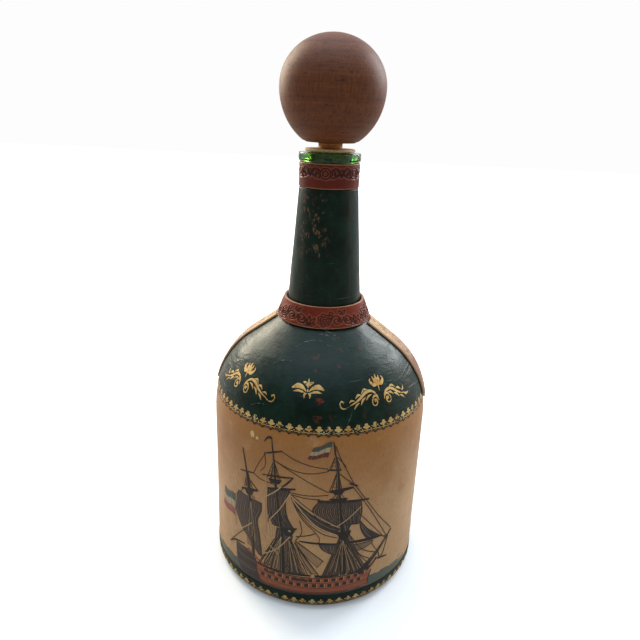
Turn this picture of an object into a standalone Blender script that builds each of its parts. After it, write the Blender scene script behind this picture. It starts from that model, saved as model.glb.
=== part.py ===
"""Leather-covered glass decanter with a wooden ball stopper.

Metres, +Z up. The origin is on the axis, in the middle of the base. The picture panel
faces -Y, its plain twin faces +Y, and the side straps run down the shoulder at -X and +X.
Run it with blender --background --python part.py, or from the text editor.
"""

import math

import bmesh
import bpy

COLLECTION = "leather_decanter"

# Clearance between pieces that touch, and the fineness of the turned shapes.
GAP = 0.0003
BODY_STEPS = 40
NECK_STEPS = 40
STOPPER_STEPS = 32
SMOOTH_ANGLE = math.radians(38)

# Glass body, outside sizes.
GLASS_RADIUS = 0.0535
GLASS_WALL = 0.0030
HEEL_RADIUS = 0.0040
PUNT_RISE = 0.0035
PUNT_RING = 0.0060
BODY_HEIGHT = 0.0895
SHOULDER_RADIUS = 0.0455
SHOULDER_TURN = math.radians(53.0)

# Glass neck and mouth.
NECK_FOOT_RADIUS = 0.0171
NECK_LENGTH = 0.0613
NECK_TAPER = math.radians(4.4)
NECK_FILLET = 0.0050
FINISH_STEP = 0.0002
LIP_HEIGHT = 0.0041
LIP_OVERHANG = 0.0017
LIP_EDGE = 0.0007
MOUTH_EDGE = 0.0005

# Leather skins.
LEATHER = 0.0012
PANEL_STEP = 0.0002
STRAP_LEATHER = 0.0008
STRAP_WIDTH = 0.0126
PANEL_RISE = 0.0103
PANEL_BOTTOM = 0.0091
SIDE_SEAM = 0.0003
SEAM_RADIUS = 0.0200
BACK_SEAM = math.radians(2.0)
HEEL_TUCK = math.radians(58.0)

# Tooled band below the lip, and the flared collar on the shoulder.
BAND_WIDTH = 0.0110
COLLAR_WIDTH = 0.0104
COLLAR_LEAN = math.radians(21.0)
COLLAR_STAND_OFF = 0.0007

# Pad under the base.
PAD_THICKNESS = 0.0015
PAD_INSET = 0.0015
PAD_EDGE = 0.0004

# Stopper.
CORK_HEAD_OVERHANG = 0.0023
CORK_HEAD_HEIGHT = 0.0012
CORK_LENGTH = 0.0250
CORK_TAPER = 0.0008
STEM_RADIUS = 0.0056
STEM_HEIGHT = 0.0022
TENON_RADIUS = 0.0040
TENON_IN_CORK = 0.0120
TENON_IN_BALL = 0.0130
BALL_RADIUS = 0.0239
BALL_FLAT_RADIUS = 0.0118
BALL_LOWER_STRETCH = 1.113
BALL_UPPER_SQUASH = 0.925

# Places that follow from the sizes above.
GLASS_BOTTOM = PAD_THICKNESS + GAP
SHOULDER_CENTRE = (GLASS_RADIUS - SHOULDER_RADIUS, BODY_HEIGHT)
HEEL_CENTRE = (GLASS_RADIUS - HEEL_RADIUS, GLASS_BOTTOM + HEEL_RADIUS)
ARC_END = (
    SHOULDER_CENTRE[0] + SHOULDER_RADIUS * math.cos(SHOULDER_TURN),
    SHOULDER_CENTRE[1] + SHOULDER_RADIUS * math.sin(SHOULDER_TURN),
)
NECK_FOOT = ARC_END[1] + (ARC_END[0] - NECK_FOOT_RADIUS) / math.tan(SHOULDER_TURN)
FINISH_START = NECK_FOOT + NECK_LENGTH
FINISH_RADIUS = NECK_FOOT_RADIUS - NECK_LENGTH * math.tan(NECK_TAPER) + FINISH_STEP
BORE_RADIUS = FINISH_RADIUS - FINISH_STEP - GLASS_WALL
LIP_BOTTOM = FINISH_START + GAP + BAND_WIDTH + GAP
LIP_TOP = LIP_BOTTOM + LIP_HEIGHT
LIP_RADIUS = FINISH_RADIUS + LIP_OVERHANG
PANEL_LEATHER = LEATHER - PANEL_STEP
PANEL_TOP = BODY_HEIGHT + PANEL_RISE
STRAP_END = PANEL_TOP + GAP
COVER_OUT = GAP + LEATHER
PANEL_OUT = GAP + PANEL_LEATHER
STRAP_OUT = COVER_OUT + GAP + STRAP_LEATHER
COVER_TOP = NECK_FOOT - GAP
SLEEVE_BOTTOM = NECK_FOOT + GAP
CORK_HEAD_RADIUS = BORE_RADIUS + CORK_HEAD_OVERHANG
HEAD_BOTTOM = LIP_TOP + GAP
HEAD_TOP = HEAD_BOTTOM + CORK_HEAD_HEIGHT
BALL_BOTTOM = HEAD_TOP + GAP + STEM_HEIGHT + GAP


def arc(centre, radius, start, end, steps):
    """Points (r, z) on a circle from one angle to another, measured up from outwards."""
    angles = [start + (end - start) * i / steps for i in range(steps + 1)]
    return [
        (centre[0] + radius * math.cos(a), centre[1] + radius * math.sin(a)) for a in angles
    ]


def neck_radius(height, offset):
    """Radius of the neck's straight cone at a height, moved out by offset."""
    slant = offset / math.cos(NECK_TAPER)
    return NECK_FOOT_RADIUS - (height - NECK_FOOT) * math.tan(NECK_TAPER) + slant


def fillet_centre():
    """Centre of the hollow curve that joins the shoulder's cone to the neck's cone."""
    (ax, ay) = (math.cos(SHOULDER_TURN), math.sin(SHOULDER_TURN))
    (bx, by) = (math.cos(NECK_TAPER), math.sin(NECK_TAPER))
    a = NECK_FOOT_RADIUS * ax + NECK_FOOT * ay + NECK_FILLET
    b = NECK_FOOT_RADIUS * bx + NECK_FOOT * by + NECK_FILLET
    scale = ax * by - ay * bx
    return ((a * by - ay * b) / scale, (ax * b - a * bx) / scale)


def meridian(offset, heel_start=-math.pi / 2):
    """The bottle's outline (r, z) from the heel up to the finish, moved out by offset."""
    heel = arc(HEEL_CENTRE, HEEL_RADIUS + offset, heel_start, 0.0, 3)
    shoulder = arc(SHOULDER_CENTRE, SHOULDER_RADIUS + offset, 0.0, SHOULDER_TURN, 8)
    hollow = arc(
        fillet_centre(), NECK_FILLET - offset, SHOULDER_TURN + math.pi, NECK_TAPER + math.pi, 3
    )
    top = (neck_radius(FINISH_START, offset), FINISH_START)
    return heel + shoulder + hollow + [top]


def between(points, low, high):
    """The stretch of a rising outline between two heights, with its ends cut level."""

    def at(height):
        for (r0, z0), (r1, z1) in zip(points, points[1:]):
            if z0 <= height <= z1 and z1 > z0:
                return (r0 + (r1 - r0) * (height - z0) / (z1 - z0), height)
        raise ValueError("the height is off the outline")

    inside = [p for p in points if low + GAP / 4 < p[1] < high - GAP / 4]
    return [at(low)] + inside + [at(high)]


def make_material(name, colour, roughness, metallic=0.0, transmission=0.0):
    """A Principled material with the piece's colour."""
    material = bpy.data.materials.new(name)
    material.use_nodes = True
    shader = material.node_tree.nodes["Principled BSDF"]
    shader.inputs["Base Color"].default_value = (*colour, 1.0)
    shader.inputs["Roughness"].default_value = roughness
    shader.inputs["Metallic"].default_value = metallic
    shader.inputs["Transmission Weight"].default_value = transmission
    return material


def line_object(name, points, closed, turn=0.0):
    """A mesh of edges through (r, z) points, in the upright plane at azimuth turn."""
    mesh = bpy.data.meshes.new(name)
    corners = [(r * math.cos(turn), r * math.sin(turn), z) for r, z in points]
    count = len(corners)
    edges = [(i, (i + 1) % count) for i in range(count if closed else count - 1)]
    mesh.from_pydata(corners, edges, [])
    return bpy.data.objects.new(name, mesh)


def add_screw(obj, steps, angle=2 * math.pi):
    """Turn the outline round the Z axis."""
    screw = obj.modifiers.new("turn", "SCREW")
    screw.axis = "Z"
    screw.angle = angle
    screw.steps = steps
    screw.render_steps = steps
    screw.use_merge_vertices = True
    screw.merge_threshold = 0.00001
    screw.use_smooth_shade = True


def place(obj, material, collections):
    """Give the piece its material and put it in the decanter's collection."""
    obj.data.materials.append(material)
    collections["parts"].objects.link(obj)
    return obj


def turned(name, outline, steps, material, collections):
    """A solid of revolution: a closed outline that runs down its outer side."""
    obj = line_object(name, outline, closed=True)
    add_screw(obj, steps)
    return place(obj, material, collections)


def skin(name, outline, thickness, start, sweep, steps, material, collections):
    """A leather skin: an outer outline turned through an angle and thickened inwards."""
    obj = line_object(name, outline[::-1], closed=False, turn=start)
    add_screw(obj, steps, sweep)
    solid = obj.modifiers.new("thickness", "SOLIDIFY")
    solid.thickness = thickness
    solid.offset = -1.0
    solid.use_even_offset = True
    return place(obj, material, collections)


def half_skin(name, outline, thickness, back, material, collections):
    """The front or the back half of a body skin, with a seam under each side strap."""
    seam = SIDE_SEAM / (2 * SEAM_RADIUS)
    start = (0.0 if back else -math.pi) + seam
    sweep = math.pi - 2 * seam
    steps = BODY_STEPS // 2
    return skin(name, outline, thickness, start, sweep, steps, material, collections)


def wrap_skin(name, outline, steps, material, collections):
    """A band of leather that goes right round and meets itself at the back."""
    start = math.pi / 2 + BACK_SEAM / 2
    sweep = 2 * math.pi - BACK_SEAM
    return skin(name, outline, LEATHER, start, sweep, steps, material, collections)


def glass_bottle(material, collections):
    """The hollow bottle: body with a pushed-up base, shoulder, neck and lip."""
    inner_wall = meridian(-GLASS_WALL)
    lip = (
        arc((LIP_RADIUS - LIP_EDGE, LIP_TOP - LIP_EDGE), LIP_EDGE, math.pi / 2, 0.0, 3)
        + arc((LIP_RADIUS - LIP_EDGE, LIP_BOTTOM + LIP_EDGE), LIP_EDGE, 0.0, -math.pi / 2, 3)
        + [(FINISH_RADIUS, LIP_BOTTOM), (FINISH_RADIUS, FINISH_START)]
    )
    outer_wall = meridian(0.0)[::-1]
    punt_edge = HEEL_CENTRE[0] - PUNT_RING
    punt = [(punt_edge * f, GLASS_BOTTOM + PUNT_RISE * (1 - f * f)) for f in (1.0, 0.66, 0.33, 0.0)]
    floor = [(punt_edge * f, z + GLASS_WALL) for f, (_, z) in zip((0.0, 0.33, 0.66), punt[::-1])]
    mouth = [
        (BORE_RADIUS, FINISH_START),
        (BORE_RADIUS, LIP_TOP - MOUTH_EDGE),
        (BORE_RADIUS + MOUTH_EDGE, LIP_TOP),
    ]
    outline = lip + outer_wall + punt + floor + inner_wall[:-1] + mouth
    return turned("glass_bottle", outline, BODY_STEPS, material, collections)


def base_pad(material, collections):
    """The flat disc that the bottle stands on."""
    radius = HEEL_CENTRE[0] - PAD_INSET
    mesh = bpy.data.meshes.new("base_pad")
    shape = bmesh.new()
    bmesh.ops.create_cone(
        shape,
        cap_ends=True,
        segments=BODY_STEPS,
        radius1=radius,
        radius2=radius,
        depth=PAD_THICKNESS,
    )
    bmesh.ops.translate(shape, verts=shape.verts, vec=(0.0, 0.0, PAD_THICKNESS / 2))
    shape.to_mesh(mesh)
    shape.free()
    obj = place(bpy.data.objects.new("base_pad", mesh), material, collections)
    bevel = obj.modifiers.new("edge", "BEVEL")
    bevel.width = PAD_EDGE
    bevel.segments = 2
    bevel.limit_method = "ANGLE"
    return obj


def body_skins(materials, collections):
    """Shoulder covers, picture panels and the band round the foot."""
    shoulder = between(meridian(COVER_OUT), PANEL_TOP + GAP, COVER_TOP)
    panel = between(meridian(PANEL_OUT), PANEL_BOTTOM + GAP, PANEL_TOP)
    for end, back in (("front", False), ("back", True)):
        half_skin(f"shoulder_cover_{end}", shoulder, LEATHER, back, materials["green"], collections)
        half_skin(
            f"picture_panel_{end}", panel, PANEL_LEATHER, back, materials["picture"], collections
        )
    foot = [p for p in meridian(COVER_OUT, -HEEL_TUCK) if p[1] < PANEL_BOTTOM]
    foot.append((GLASS_RADIUS + COVER_OUT, PANEL_BOTTOM))
    wrap_skin("foot_band", foot, BODY_STEPS, materials["green"], collections)


def collar_outline():
    """The flared collar's outer side, from its lower edge up, clear of neck and shoulder."""
    across = (math.cos(COLLAR_LEAN), math.sin(COLLAR_LEAN))
    along = (-math.sin(COLLAR_LEAN), math.cos(COLLAR_LEAN))
    # The inner lower edge stands GAP above the shoulder cover's cone.
    cone = (math.cos(SHOULDER_TURN), math.sin(SHOULDER_TURN))
    level = NECK_FOOT_RADIUS * cone[0] + NECK_FOOT * cone[1] + COVER_OUT + GAP
    # The inner upper edge stands COLLAR_STAND_OFF from the sleeve's cone.
    neck = (math.cos(NECK_TAPER), math.sin(NECK_TAPER))
    reach = NECK_FOOT_RADIUS * neck[0] + NECK_FOOT * neck[1] + COVER_OUT + COLLAR_STAND_OFF
    reach -= COLLAR_WIDTH * (along[0] * neck[0] + along[1] * neck[1])
    scale = cone[0] * neck[1] - cone[1] * neck[0]
    low = ((level * neck[1] - cone[1] * reach) / scale, (cone[0] * reach - level * neck[0]) / scale)
    outer = (low[0] + LEATHER * across[0], low[1] + LEATHER * across[1])
    steps = 4
    return [
        (
            outer[0] + along[0] * COLLAR_WIDTH * i / steps,
            outer[1] + along[1] * COLLAR_WIDTH * i / steps,
        )
        for i in range(steps + 1)
    ]


def neck_skins(materials, collections):
    """The sleeve on the neck, the tooled band below the lip and the flared collar."""
    sleeve = between(meridian(COVER_OUT), SLEEVE_BOTTOM, FINISH_START)
    wrap_skin("neck_sleeve", sleeve, NECK_STEPS, materials["green"], collections)
    band_radius = FINISH_RADIUS + GAP + LEATHER
    band = [(band_radius, FINISH_START + GAP), (band_radius, LIP_BOTTOM - GAP)]
    wrap_skin("lip_band", band, NECK_STEPS, materials["tooled"], collections)
    wrap_skin("neck_collar", collar_outline(), NECK_STEPS, materials["tooled"], collections)


def strap_cutter(name, side, top, collections):
    """A box as wide as the strap, from its lower end up to the collar."""
    mesh = bpy.data.meshes.new(name)
    shape = bmesh.new()
    bmesh.ops.create_cube(shape, size=1.0)
    reach = 2 * GLASS_RADIUS
    height = top - STRAP_END
    bmesh.ops.scale(shape, verts=shape.verts, vec=(reach, STRAP_WIDTH, height))
    centre = (side * reach / 2, 0.0, STRAP_END + height / 2)
    bmesh.ops.translate(shape, verts=shape.verts, vec=centre)
    shape.to_mesh(mesh)
    shape.free()
    box = bpy.data.objects.new(name, mesh)
    box.hide_render = True
    box.display_type = "WIRE"
    collections["cutters"].objects.link(box)
    return box


def side_straps(materials, collections):
    """Two tooled straps that cover the side seams, from under the collar to the panels."""
    collar_low = collar_outline()[0]
    top = collar_low[1] - GAP * 2
    outline = between(meridian(STRAP_OUT), STRAP_END - GAP, top + GAP)
    spread = 1.5 * math.asin(STRAP_WIDTH / 2 / collar_low[0])
    for end, side, middle in (("left", -1, math.pi), ("right", 1, 0.0)):
        name = f"side_strap_{end}"
        start = middle - spread
        sweep = 2 * spread
        strap = skin(
            name, outline, STRAP_LEATHER, start, sweep, 12, materials["tooled"], collections
        )
        cut = strap.modifiers.new("width", "BOOLEAN")
        cut.operation = "INTERSECT"
        cut.solver = "EXACT"
        cut.object = strap_cutter(f"{name}_cutter", side, top, collections)


def stopper_cork(material, collections):
    """The cork: a head that rests on the lip and a tapered plug bored for the stem."""
    plug = BORE_RADIUS - GAP
    bottom = LIP_TOP - CORK_LENGTH
    hole = TENON_RADIUS + GAP
    edge = CORK_HEAD_HEIGHT / 4
    outline = [
        (CORK_HEAD_RADIUS - edge, HEAD_TOP),
        (CORK_HEAD_RADIUS, HEAD_TOP - edge),
        (CORK_HEAD_RADIUS, HEAD_BOTTOM + edge),
        (CORK_HEAD_RADIUS - edge, HEAD_BOTTOM),
        (plug, HEAD_BOTTOM),
        (plug - CORK_TAPER, bottom + edge),
        (plug - CORK_TAPER - edge, bottom),
        (0.0, bottom),
        (0.0, HEAD_TOP - TENON_IN_CORK),
        (hole, HEAD_TOP - TENON_IN_CORK),
        (hole, HEAD_TOP),
    ]
    return turned("stopper_cork", outline, STOPPER_STEPS, material, collections)


def stopper_stem(material, collections):
    """The turned stem: a collar between ball and cork, with a tenon into each."""
    low = HEAD_TOP + GAP
    high = low + STEM_HEIGHT
    outline = [
        (0.0, BALL_BOTTOM + TENON_IN_BALL - GAP),
        (TENON_RADIUS, BALL_BOTTOM + TENON_IN_BALL - GAP),
        (TENON_RADIUS, high),
        (STEM_RADIUS, high),
        (STEM_RADIUS, low),
        (TENON_RADIUS, low),
        (TENON_RADIUS, HEAD_TOP - TENON_IN_CORK + GAP),
        (0.0, HEAD_TOP - TENON_IN_CORK + GAP),
    ]
    return turned("stopper_stem", outline, STOPPER_STEPS, material, collections)


def ball_centre():
    """Height of the ball's widest circle above the floor."""
    drop = math.sqrt(1.0 - (BALL_FLAT_RADIUS / BALL_RADIUS) ** 2)
    return BALL_BOTTOM + BALL_RADIUS * BALL_LOWER_STRETCH * drop


def stopper_ball(material, collections):
    """The turned ball: a little low above, drawn out below, flat where the stem enters."""
    middle = ball_centre()
    flat = math.acos(BALL_FLAT_RADIUS / BALL_RADIUS)
    upper = [
        (r, middle + (z - middle) * BALL_UPPER_SQUASH)
        for r, z in arc((0.0, middle), BALL_RADIUS, math.pi / 2, 0.0, 9)
    ]
    lower = [
        (r, middle + (z - middle) * BALL_LOWER_STRETCH)
        for r, z in arc((0.0, middle), BALL_RADIUS, 0.0, -flat, 7)
    ]
    hole = TENON_RADIUS + GAP
    socket = [
        (hole, BALL_BOTTOM),
        (hole, BALL_BOTTOM + TENON_IN_BALL),
        (0.0, BALL_BOTTOM + TENON_IN_BALL),
    ]
    outline = [(0.0, upper[0][1])] + upper[1:] + lower[1:] + socket
    return turned("stopper_ball", outline, STOPPER_STEPS, material, collections)


def make_materials():
    """One material for each kind of surface."""
    return {
        "glass": make_material("green_glass", (0.03, 0.12, 0.04), 0.05, transmission=0.8),
        "green": make_material("green_leather", (0.012, 0.026, 0.020), 0.35),
        "tooled": make_material("tooled_brown_leather", (0.16, 0.045, 0.02), 0.45),
        "picture": make_material("varnished_picture_leather", (0.30, 0.17, 0.06), 0.30),
        "pad": make_material("green_felt", (0.02, 0.05, 0.03), 0.95),
        "cork": make_material("cork", (0.62, 0.40, 0.20), 0.85),
        "stem": make_material("stem_wood", (0.28, 0.11, 0.03), 0.45),
        "ball": make_material("walnut", (0.12, 0.05, 0.025), 0.40),
    }


def shade(obj):
    """Smooth round faces and keep real edges sharp."""
    for polygon in obj.data.polygons:
        polygon.use_smooth = True
    obj.data.set_sharp_from_angle(angle=SMOOTH_ANGLE)


def main():
    for obj in list(bpy.data.objects):
        bpy.data.objects.remove(obj)
    collections = {}
    for key, name in (("parts", COLLECTION), ("cutters", "cutters")):
        collections[key] = bpy.data.collections.new(name)
        bpy.context.scene.collection.children.link(collections[key])
    materials = make_materials()
    glass_bottle(materials["glass"], collections)
    shade(base_pad(materials["pad"], collections))
    body_skins(materials, collections)
    neck_skins(materials, collections)
    side_straps(materials, collections)
    stopper_cork(materials["cork"], collections)
    stopper_stem(materials["stem"], collections)
    stopper_ball(materials["ball"], collections)


main()
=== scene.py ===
"""Looks of a leather-covered glass decanter with a printed warship and a wooden ball stopper.

Metres, +Z up, origin on the axis in the middle of the base. The picture faces -Y and the
straps run down at -X and +X. An azimuth is measured from -Y towards +X, in radians.
Drawings on the bottle are laid out flat in millimetres: across is the way round the body at
its outer radius, up is the height above the floor.
"""

import logging
import math
from collections.abc import Callable, Sequence
from dataclasses import dataclass, field
from enum import Enum
from typing import Any

import bpy
import numpy as np
from mathutils import Matrix, Vector


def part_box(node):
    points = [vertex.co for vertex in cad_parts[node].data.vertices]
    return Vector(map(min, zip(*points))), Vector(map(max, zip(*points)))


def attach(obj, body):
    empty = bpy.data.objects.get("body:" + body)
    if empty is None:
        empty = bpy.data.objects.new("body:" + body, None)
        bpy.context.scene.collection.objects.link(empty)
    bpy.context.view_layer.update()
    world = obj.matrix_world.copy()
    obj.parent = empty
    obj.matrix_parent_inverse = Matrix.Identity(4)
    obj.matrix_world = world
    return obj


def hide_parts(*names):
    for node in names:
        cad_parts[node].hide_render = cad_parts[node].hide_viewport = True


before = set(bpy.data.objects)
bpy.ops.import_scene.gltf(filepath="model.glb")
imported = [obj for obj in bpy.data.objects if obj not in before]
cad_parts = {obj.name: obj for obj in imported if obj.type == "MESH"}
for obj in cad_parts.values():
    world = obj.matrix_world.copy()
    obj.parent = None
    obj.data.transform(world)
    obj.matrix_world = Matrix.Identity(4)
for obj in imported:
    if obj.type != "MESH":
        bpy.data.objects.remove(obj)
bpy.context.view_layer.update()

LOG = logging.getLogger("decanter")

MM = 0.001
QUARTER = math.pi / 2
TURN = 2 * math.pi
SHARP_ANGLE = math.radians(40)

Array = np.ndarray
Points = Sequence[tuple[float, float]] | np.ndarray
Shares = float | Sequence[float]
Place = Callable[[Array, Any], Array]
Material = bpy.types.Material


def srgb(red: float, green: float, blue: float) -> tuple[float, float, float, float]:
    """Turn a colour in 0 to 255 screen values into the linear colour that shaders take.

    Args:
        red: Red, 0 to 255.
        green: Green, 0 to 255.
        blue: Blue, 0 to 255.

    Returns:
        The linear colour with full alpha.
    """
    parts = np.array([red, green, blue]) / 255.0
    linear = np.where(parts <= 0.04045, parts / 12.92, ((parts + 0.055) / 1.055) ** 2.4)
    return (float(linear[0]), float(linear[1]), float(linear[2]), 1.0)


# Surfaces on grids

def grid_quads(index: Array) -> Array:
    """Quads between the neighbouring rows and columns of a grid of point numbers."""
    corners = (index[:-1, :-1], index[:-1, 1:], index[1:, 1:], index[1:, :-1])
    return np.stack([c.ravel() for c in corners], axis=1)


def rim_quads(near: Array, far: Array) -> Array:
    """Quads of the edge strip that joins a border line of one grid to that of another."""
    return np.stack([near[1:], near[:-1], far[:-1], far[1:]], axis=1)


@dataclass
class Solid:
    """A closed mesh: its points, its faces by number of corners, and values at its points."""

    points: Array
    faces: list[Array]
    marks: dict[str, Array] = field(default_factory=dict)

    def volume(self) -> float:
        """Signed volume: the sum over the faces' triangles of their boxes with the origin.

        Returns:
            The volume, below zero when the faces point inwards.
        """
        total = 0.0
        for group in self.faces:
            for i in range(1, group.shape[1] - 1):
                a, b, c = (self.points[group[:, k]] for k in (0, i, i + 1))
                total += float(np.einsum("ij,ij->", a, np.cross(b, c)))
        return total

    def outward(self) -> "Solid":
        """The same solid with its faces turned outwards.

        Returns:
            The solid itself.
        """
        if self.volume() < 0:
            self.faces = [group[:, ::-1] for group in self.faces]
        return self

    @staticmethod
    def joined(solids: "Sequence[Solid]") -> "Solid":
        """Put several solids in one, with their point values.

        Args:
            solids: Solids with the same marks.

        Returns:
            One solid that holds them all.
        """
        starts = np.cumsum([0] + [len(s.points) for s in solids[:-1]])
        faces = [group + start for s, start in zip(solids, starts) for group in s.faces]
        marks = {key: np.concatenate([s.marks[key] for s in solids]) for key in solids[0].marks}
        return Solid(np.concatenate([s.points for s in solids]), faces, marks)

    def made(
        self,
        name: str,
        material: Material,
        body: str,
        slot: str,
        stands_for: Sequence[str] = (),
    ) -> bpy.types.Object:
        """Make the solid an object that rides on a body.

        Args:
            name: The piece's name.
            material: Its finish.
            body: The body that it moves with.
            slot: The record's material slot; not used.
            stands_for: The CAD nodes that it replaces.

        Returns:
            The new object.
        """
        mesh = bpy.data.meshes.new(name)
        sizes = np.concatenate([np.full(len(g), g.shape[1]) for g in self.faces])
        loops = np.concatenate([g.ravel() for g in self.faces]).astype(np.int32)
        starts = np.concatenate([[0], np.cumsum(sizes)[:-1]]).astype(np.int32)
        mesh.vertices.add(len(self.points))
        mesh.vertices.foreach_set("co", self.points.astype(np.float32).ravel())
        mesh.loops.add(len(loops))
        mesh.loops.foreach_set("vertex_index", loops)
        mesh.polygons.add(len(starts))
        mesh.polygons.foreach_set("loop_start", starts)
        for key, values in self.marks.items():
            if values.ndim == 1:
                kept = mesh.attributes.new(key, "FLOAT", "POINT")
                kept.data.foreach_set("value", values.astype(np.float32))
            else:
                kept = mesh.attributes.new(key, "FLOAT_COLOR", "POINT")
                kept.data.foreach_set("color", values.astype(np.float32).ravel())
        mesh.update(calc_edges=True)
        mesh.validate()
        mesh.shade_smooth()
        mesh.set_sharp_from_angle(angle=SHARP_ANGLE)
        mesh.materials.append(material)
        obj = bpy.data.objects.new(name, mesh)
        bpy.context.scene.collection.objects.link(obj)
        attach(obj, body)
        if stands_for:
            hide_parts(*stands_for)
        LOG.info("%s: %d points, %d faces", name, len(self.points), len(starts))
        return obj


def slab(outer: Array, inner: Array, marks: dict[str, Array] | None = None) -> Solid:
    """A closed slab between two grids of the same size, with its four edges filled.

    Args:
        outer: Points of the outer side, rows by columns by three.
        inner: Points of the inner side.
        marks: Values on the outer grid, repeated on the inner one.

    Returns:
        The closed slab, its faces outward.
    """
    rows, columns = outer.shape[:2]
    near = np.arange(rows * columns).reshape(rows, columns)
    far = near + rows * columns
    faces = np.concatenate(
        [
            grid_quads(near),
            grid_quads(far)[:, ::-1],
            rim_quads(near[0], far[0]),
            rim_quads(near[-1], far[-1])[:, ::-1],
            rim_quads(near[:, 0], far[:, 0])[:, ::-1],
            rim_quads(near[:, -1], far[:, -1]),
        ]
    )
    points = np.concatenate([outer.reshape(-1, 3), inner.reshape(-1, 3)])
    kept = {}
    for key, values in (marks or {}).items():
        flat = values.reshape(rows * columns, *values.shape[2:])
        kept[key] = np.concatenate([flat, flat])
    return Solid(points, [faces], kept).outward()


def turned(profile: Array, steps: int, wobble: Callable[[Array, Array], Array] | None = None) -> Solid:
    """A solid of revolution: each outline point (r, z) goes to (r sin a, -r cos a, z).

    Args:
        profile: Outline from one point on the axis to another, (r, z) rows.
        steps: Steps round the axis.
        wobble: Extra radius worked out from azimuth and height.

    Returns:
        The closed solid, with one point at each pole.
    """
    azimuth = np.arange(steps) * TURN / steps
    radius, height = profile[1:-1, :1], profile[1:-1, 1:]
    if wobble is not None:
        radius = radius + wobble(azimuth[None, :], height)
    radius = radius * np.ones(steps)
    ring = np.stack(
        [radius * np.sin(azimuth), -radius * np.cos(azimuth), height * np.ones(steps)], axis=-1
    )
    rows = len(profile) - 2
    poles = np.array([[0, 0, profile[0, 1]], [0, 0, profile[-1, 1]]])
    index = np.arange(rows * steps).reshape(rows, steps)
    index = np.concatenate([index, index[:, :1]], axis=1)
    first, last = rows * steps, rows * steps + 1
    start = np.stack([index[0, 1:], index[0, :-1], np.full(steps, first)], axis=1)
    end = np.stack([index[-1, :-1], index[-1, 1:], np.full(steps, last)], axis=1)
    points = np.concatenate([ring.reshape(-1, 3), poles])
    return Solid(points, [grid_quads(index), start, end]).outward()


def arc(centre: tuple[float, float], radius: float, start: float, end: float, steps: int) -> Array:
    """Points (r, z) on a circle between two angles, measured up from outwards."""
    angle = np.linspace(start, end, steps + 1)
    return np.stack([centre[0] + radius * np.cos(angle), centre[1] + radius * np.sin(angle)], axis=1)


def spline(points: Points, spacing: float) -> Array:
    """A smooth curve through flat points: each span is the Catmull-Rom cubic of its four neighbours.

    Args:
        points: Points that the curve passes through.
        spacing: Longest step between the curve's points.

    Returns:
        The curve's points, one row each.
    """
    knots = np.asarray(points, float)
    if len(knots) == 2:
        count = max(1, math.ceil(float(np.hypot(*(knots[1] - knots[0]))) / spacing))
        return knots[0] + (knots[1] - knots[0]) * np.linspace(0, 1, count + 1)[:, None]
    padded = np.concatenate([[2 * knots[0] - knots[1]], knots, [2 * knots[-1] - knots[-2]]])
    longest = float(np.linalg.norm(np.diff(knots, axis=0), axis=1).max())
    t = np.linspace(0, 1, max(2, math.ceil(longest / spacing)) + 1)[:-1, None, None]
    a, b, c, d = padded[:-3], padded[1:-2], padded[2:-1], padded[3:]
    curve = b + t / 2 * (c - a + t * (2 * a - 5 * b + 4 * c - d + t * (3 * (b - c) + d - a)))
    return np.concatenate([curve.transpose(1, 0, 2).reshape(-1, 2), knots[-1:]])


def even_values(values: Shares, count: int) -> Array:
    """One value, or several evenly spaced along a line, worked out at each of its points."""
    known = np.atleast_1d(np.asarray(values, float))
    return np.interp(np.linspace(0, 1, count), np.linspace(0, 1, len(known)), known)


def resampled(curve: Array, count: int) -> Array:
    """The curve's points again at equal steps of its length.

    Args:
        curve: Points of a curve.
        count: How many points to give back.

    Returns:
        Points at equal distances along it.
    """
    steps = np.concatenate([[0], np.cumsum(np.linalg.norm(np.diff(curve, axis=0), axis=1))])
    at = np.linspace(0, steps[-1], count)
    return np.stack([np.interp(at, steps, curve[:, k]) for k in range(2)], axis=1)


def ripple(azimuth: Array, height: Array) -> Array:
    """Slow unevenness of glued leather: three crossed sine waves that close round the bottle.

    Args:
        azimuth: Azimuths in radians.
        height: Heights in metres.

    Returns:
        Values from about -1 to 1.
    """
    first = 0.5 * np.sin(5 * azimuth + 95 * height)
    second = 0.3 * np.sin(11 * azimuth - 210 * height + 1.0)
    return first + second + 0.2 * np.sin(17 * azimuth + 340 * height + 2.0)


@dataclass(frozen=True)
class Outline:
    """A rising meridian of the bottle, with its outward normals and the leather's unevenness."""

    radius: Array
    height: Array
    normal: Array
    unevenness: float = 0.0

    @classmethod
    def through(cls, points: Array, unevenness: float = 0.0) -> "Outline":
        """Build it from rising (r, z) points; the normal is the tangent turned outwards.

        Args:
            points: The rising points.
            unevenness: Greatest height of the leather's waves.

        Returns:
            The outline.
        """
        tangent = np.gradient(points, axis=0)
        tangent /= np.linalg.norm(tangent, axis=1, keepdims=True)
        normal = np.stack([tangent[:, 1], -tangent[:, 0]], axis=1)
        return cls(points[:, 0], points[:, 1], normal, unevenness)

    def radius_at(self, height: Array) -> Array:
        """Radius at some heights."""
        return np.interp(height, self.height, self.radius)

    def place(self, azimuth: Array, height: Array, lift: Array | float = 0.0) -> Array:
        """Points on the turned surface, moved out along its normal.

        Args:
            azimuth: Azimuths.
            height: Heights, in the same shape.
            lift: Distances out of the surface.

        Returns:
            Points with a last axis of three.
        """
        reach = lift + self.unevenness * ripple(azimuth, height)
        out, up = (np.interp(height, self.height, self.normal[:, k]) for k in range(2))
        radius = self.radius_at(height) + reach * out
        rise = height + reach * up
        return np.stack([radius * np.sin(azimuth), -radius * np.cos(azimuth), rise], axis=-1)


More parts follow.
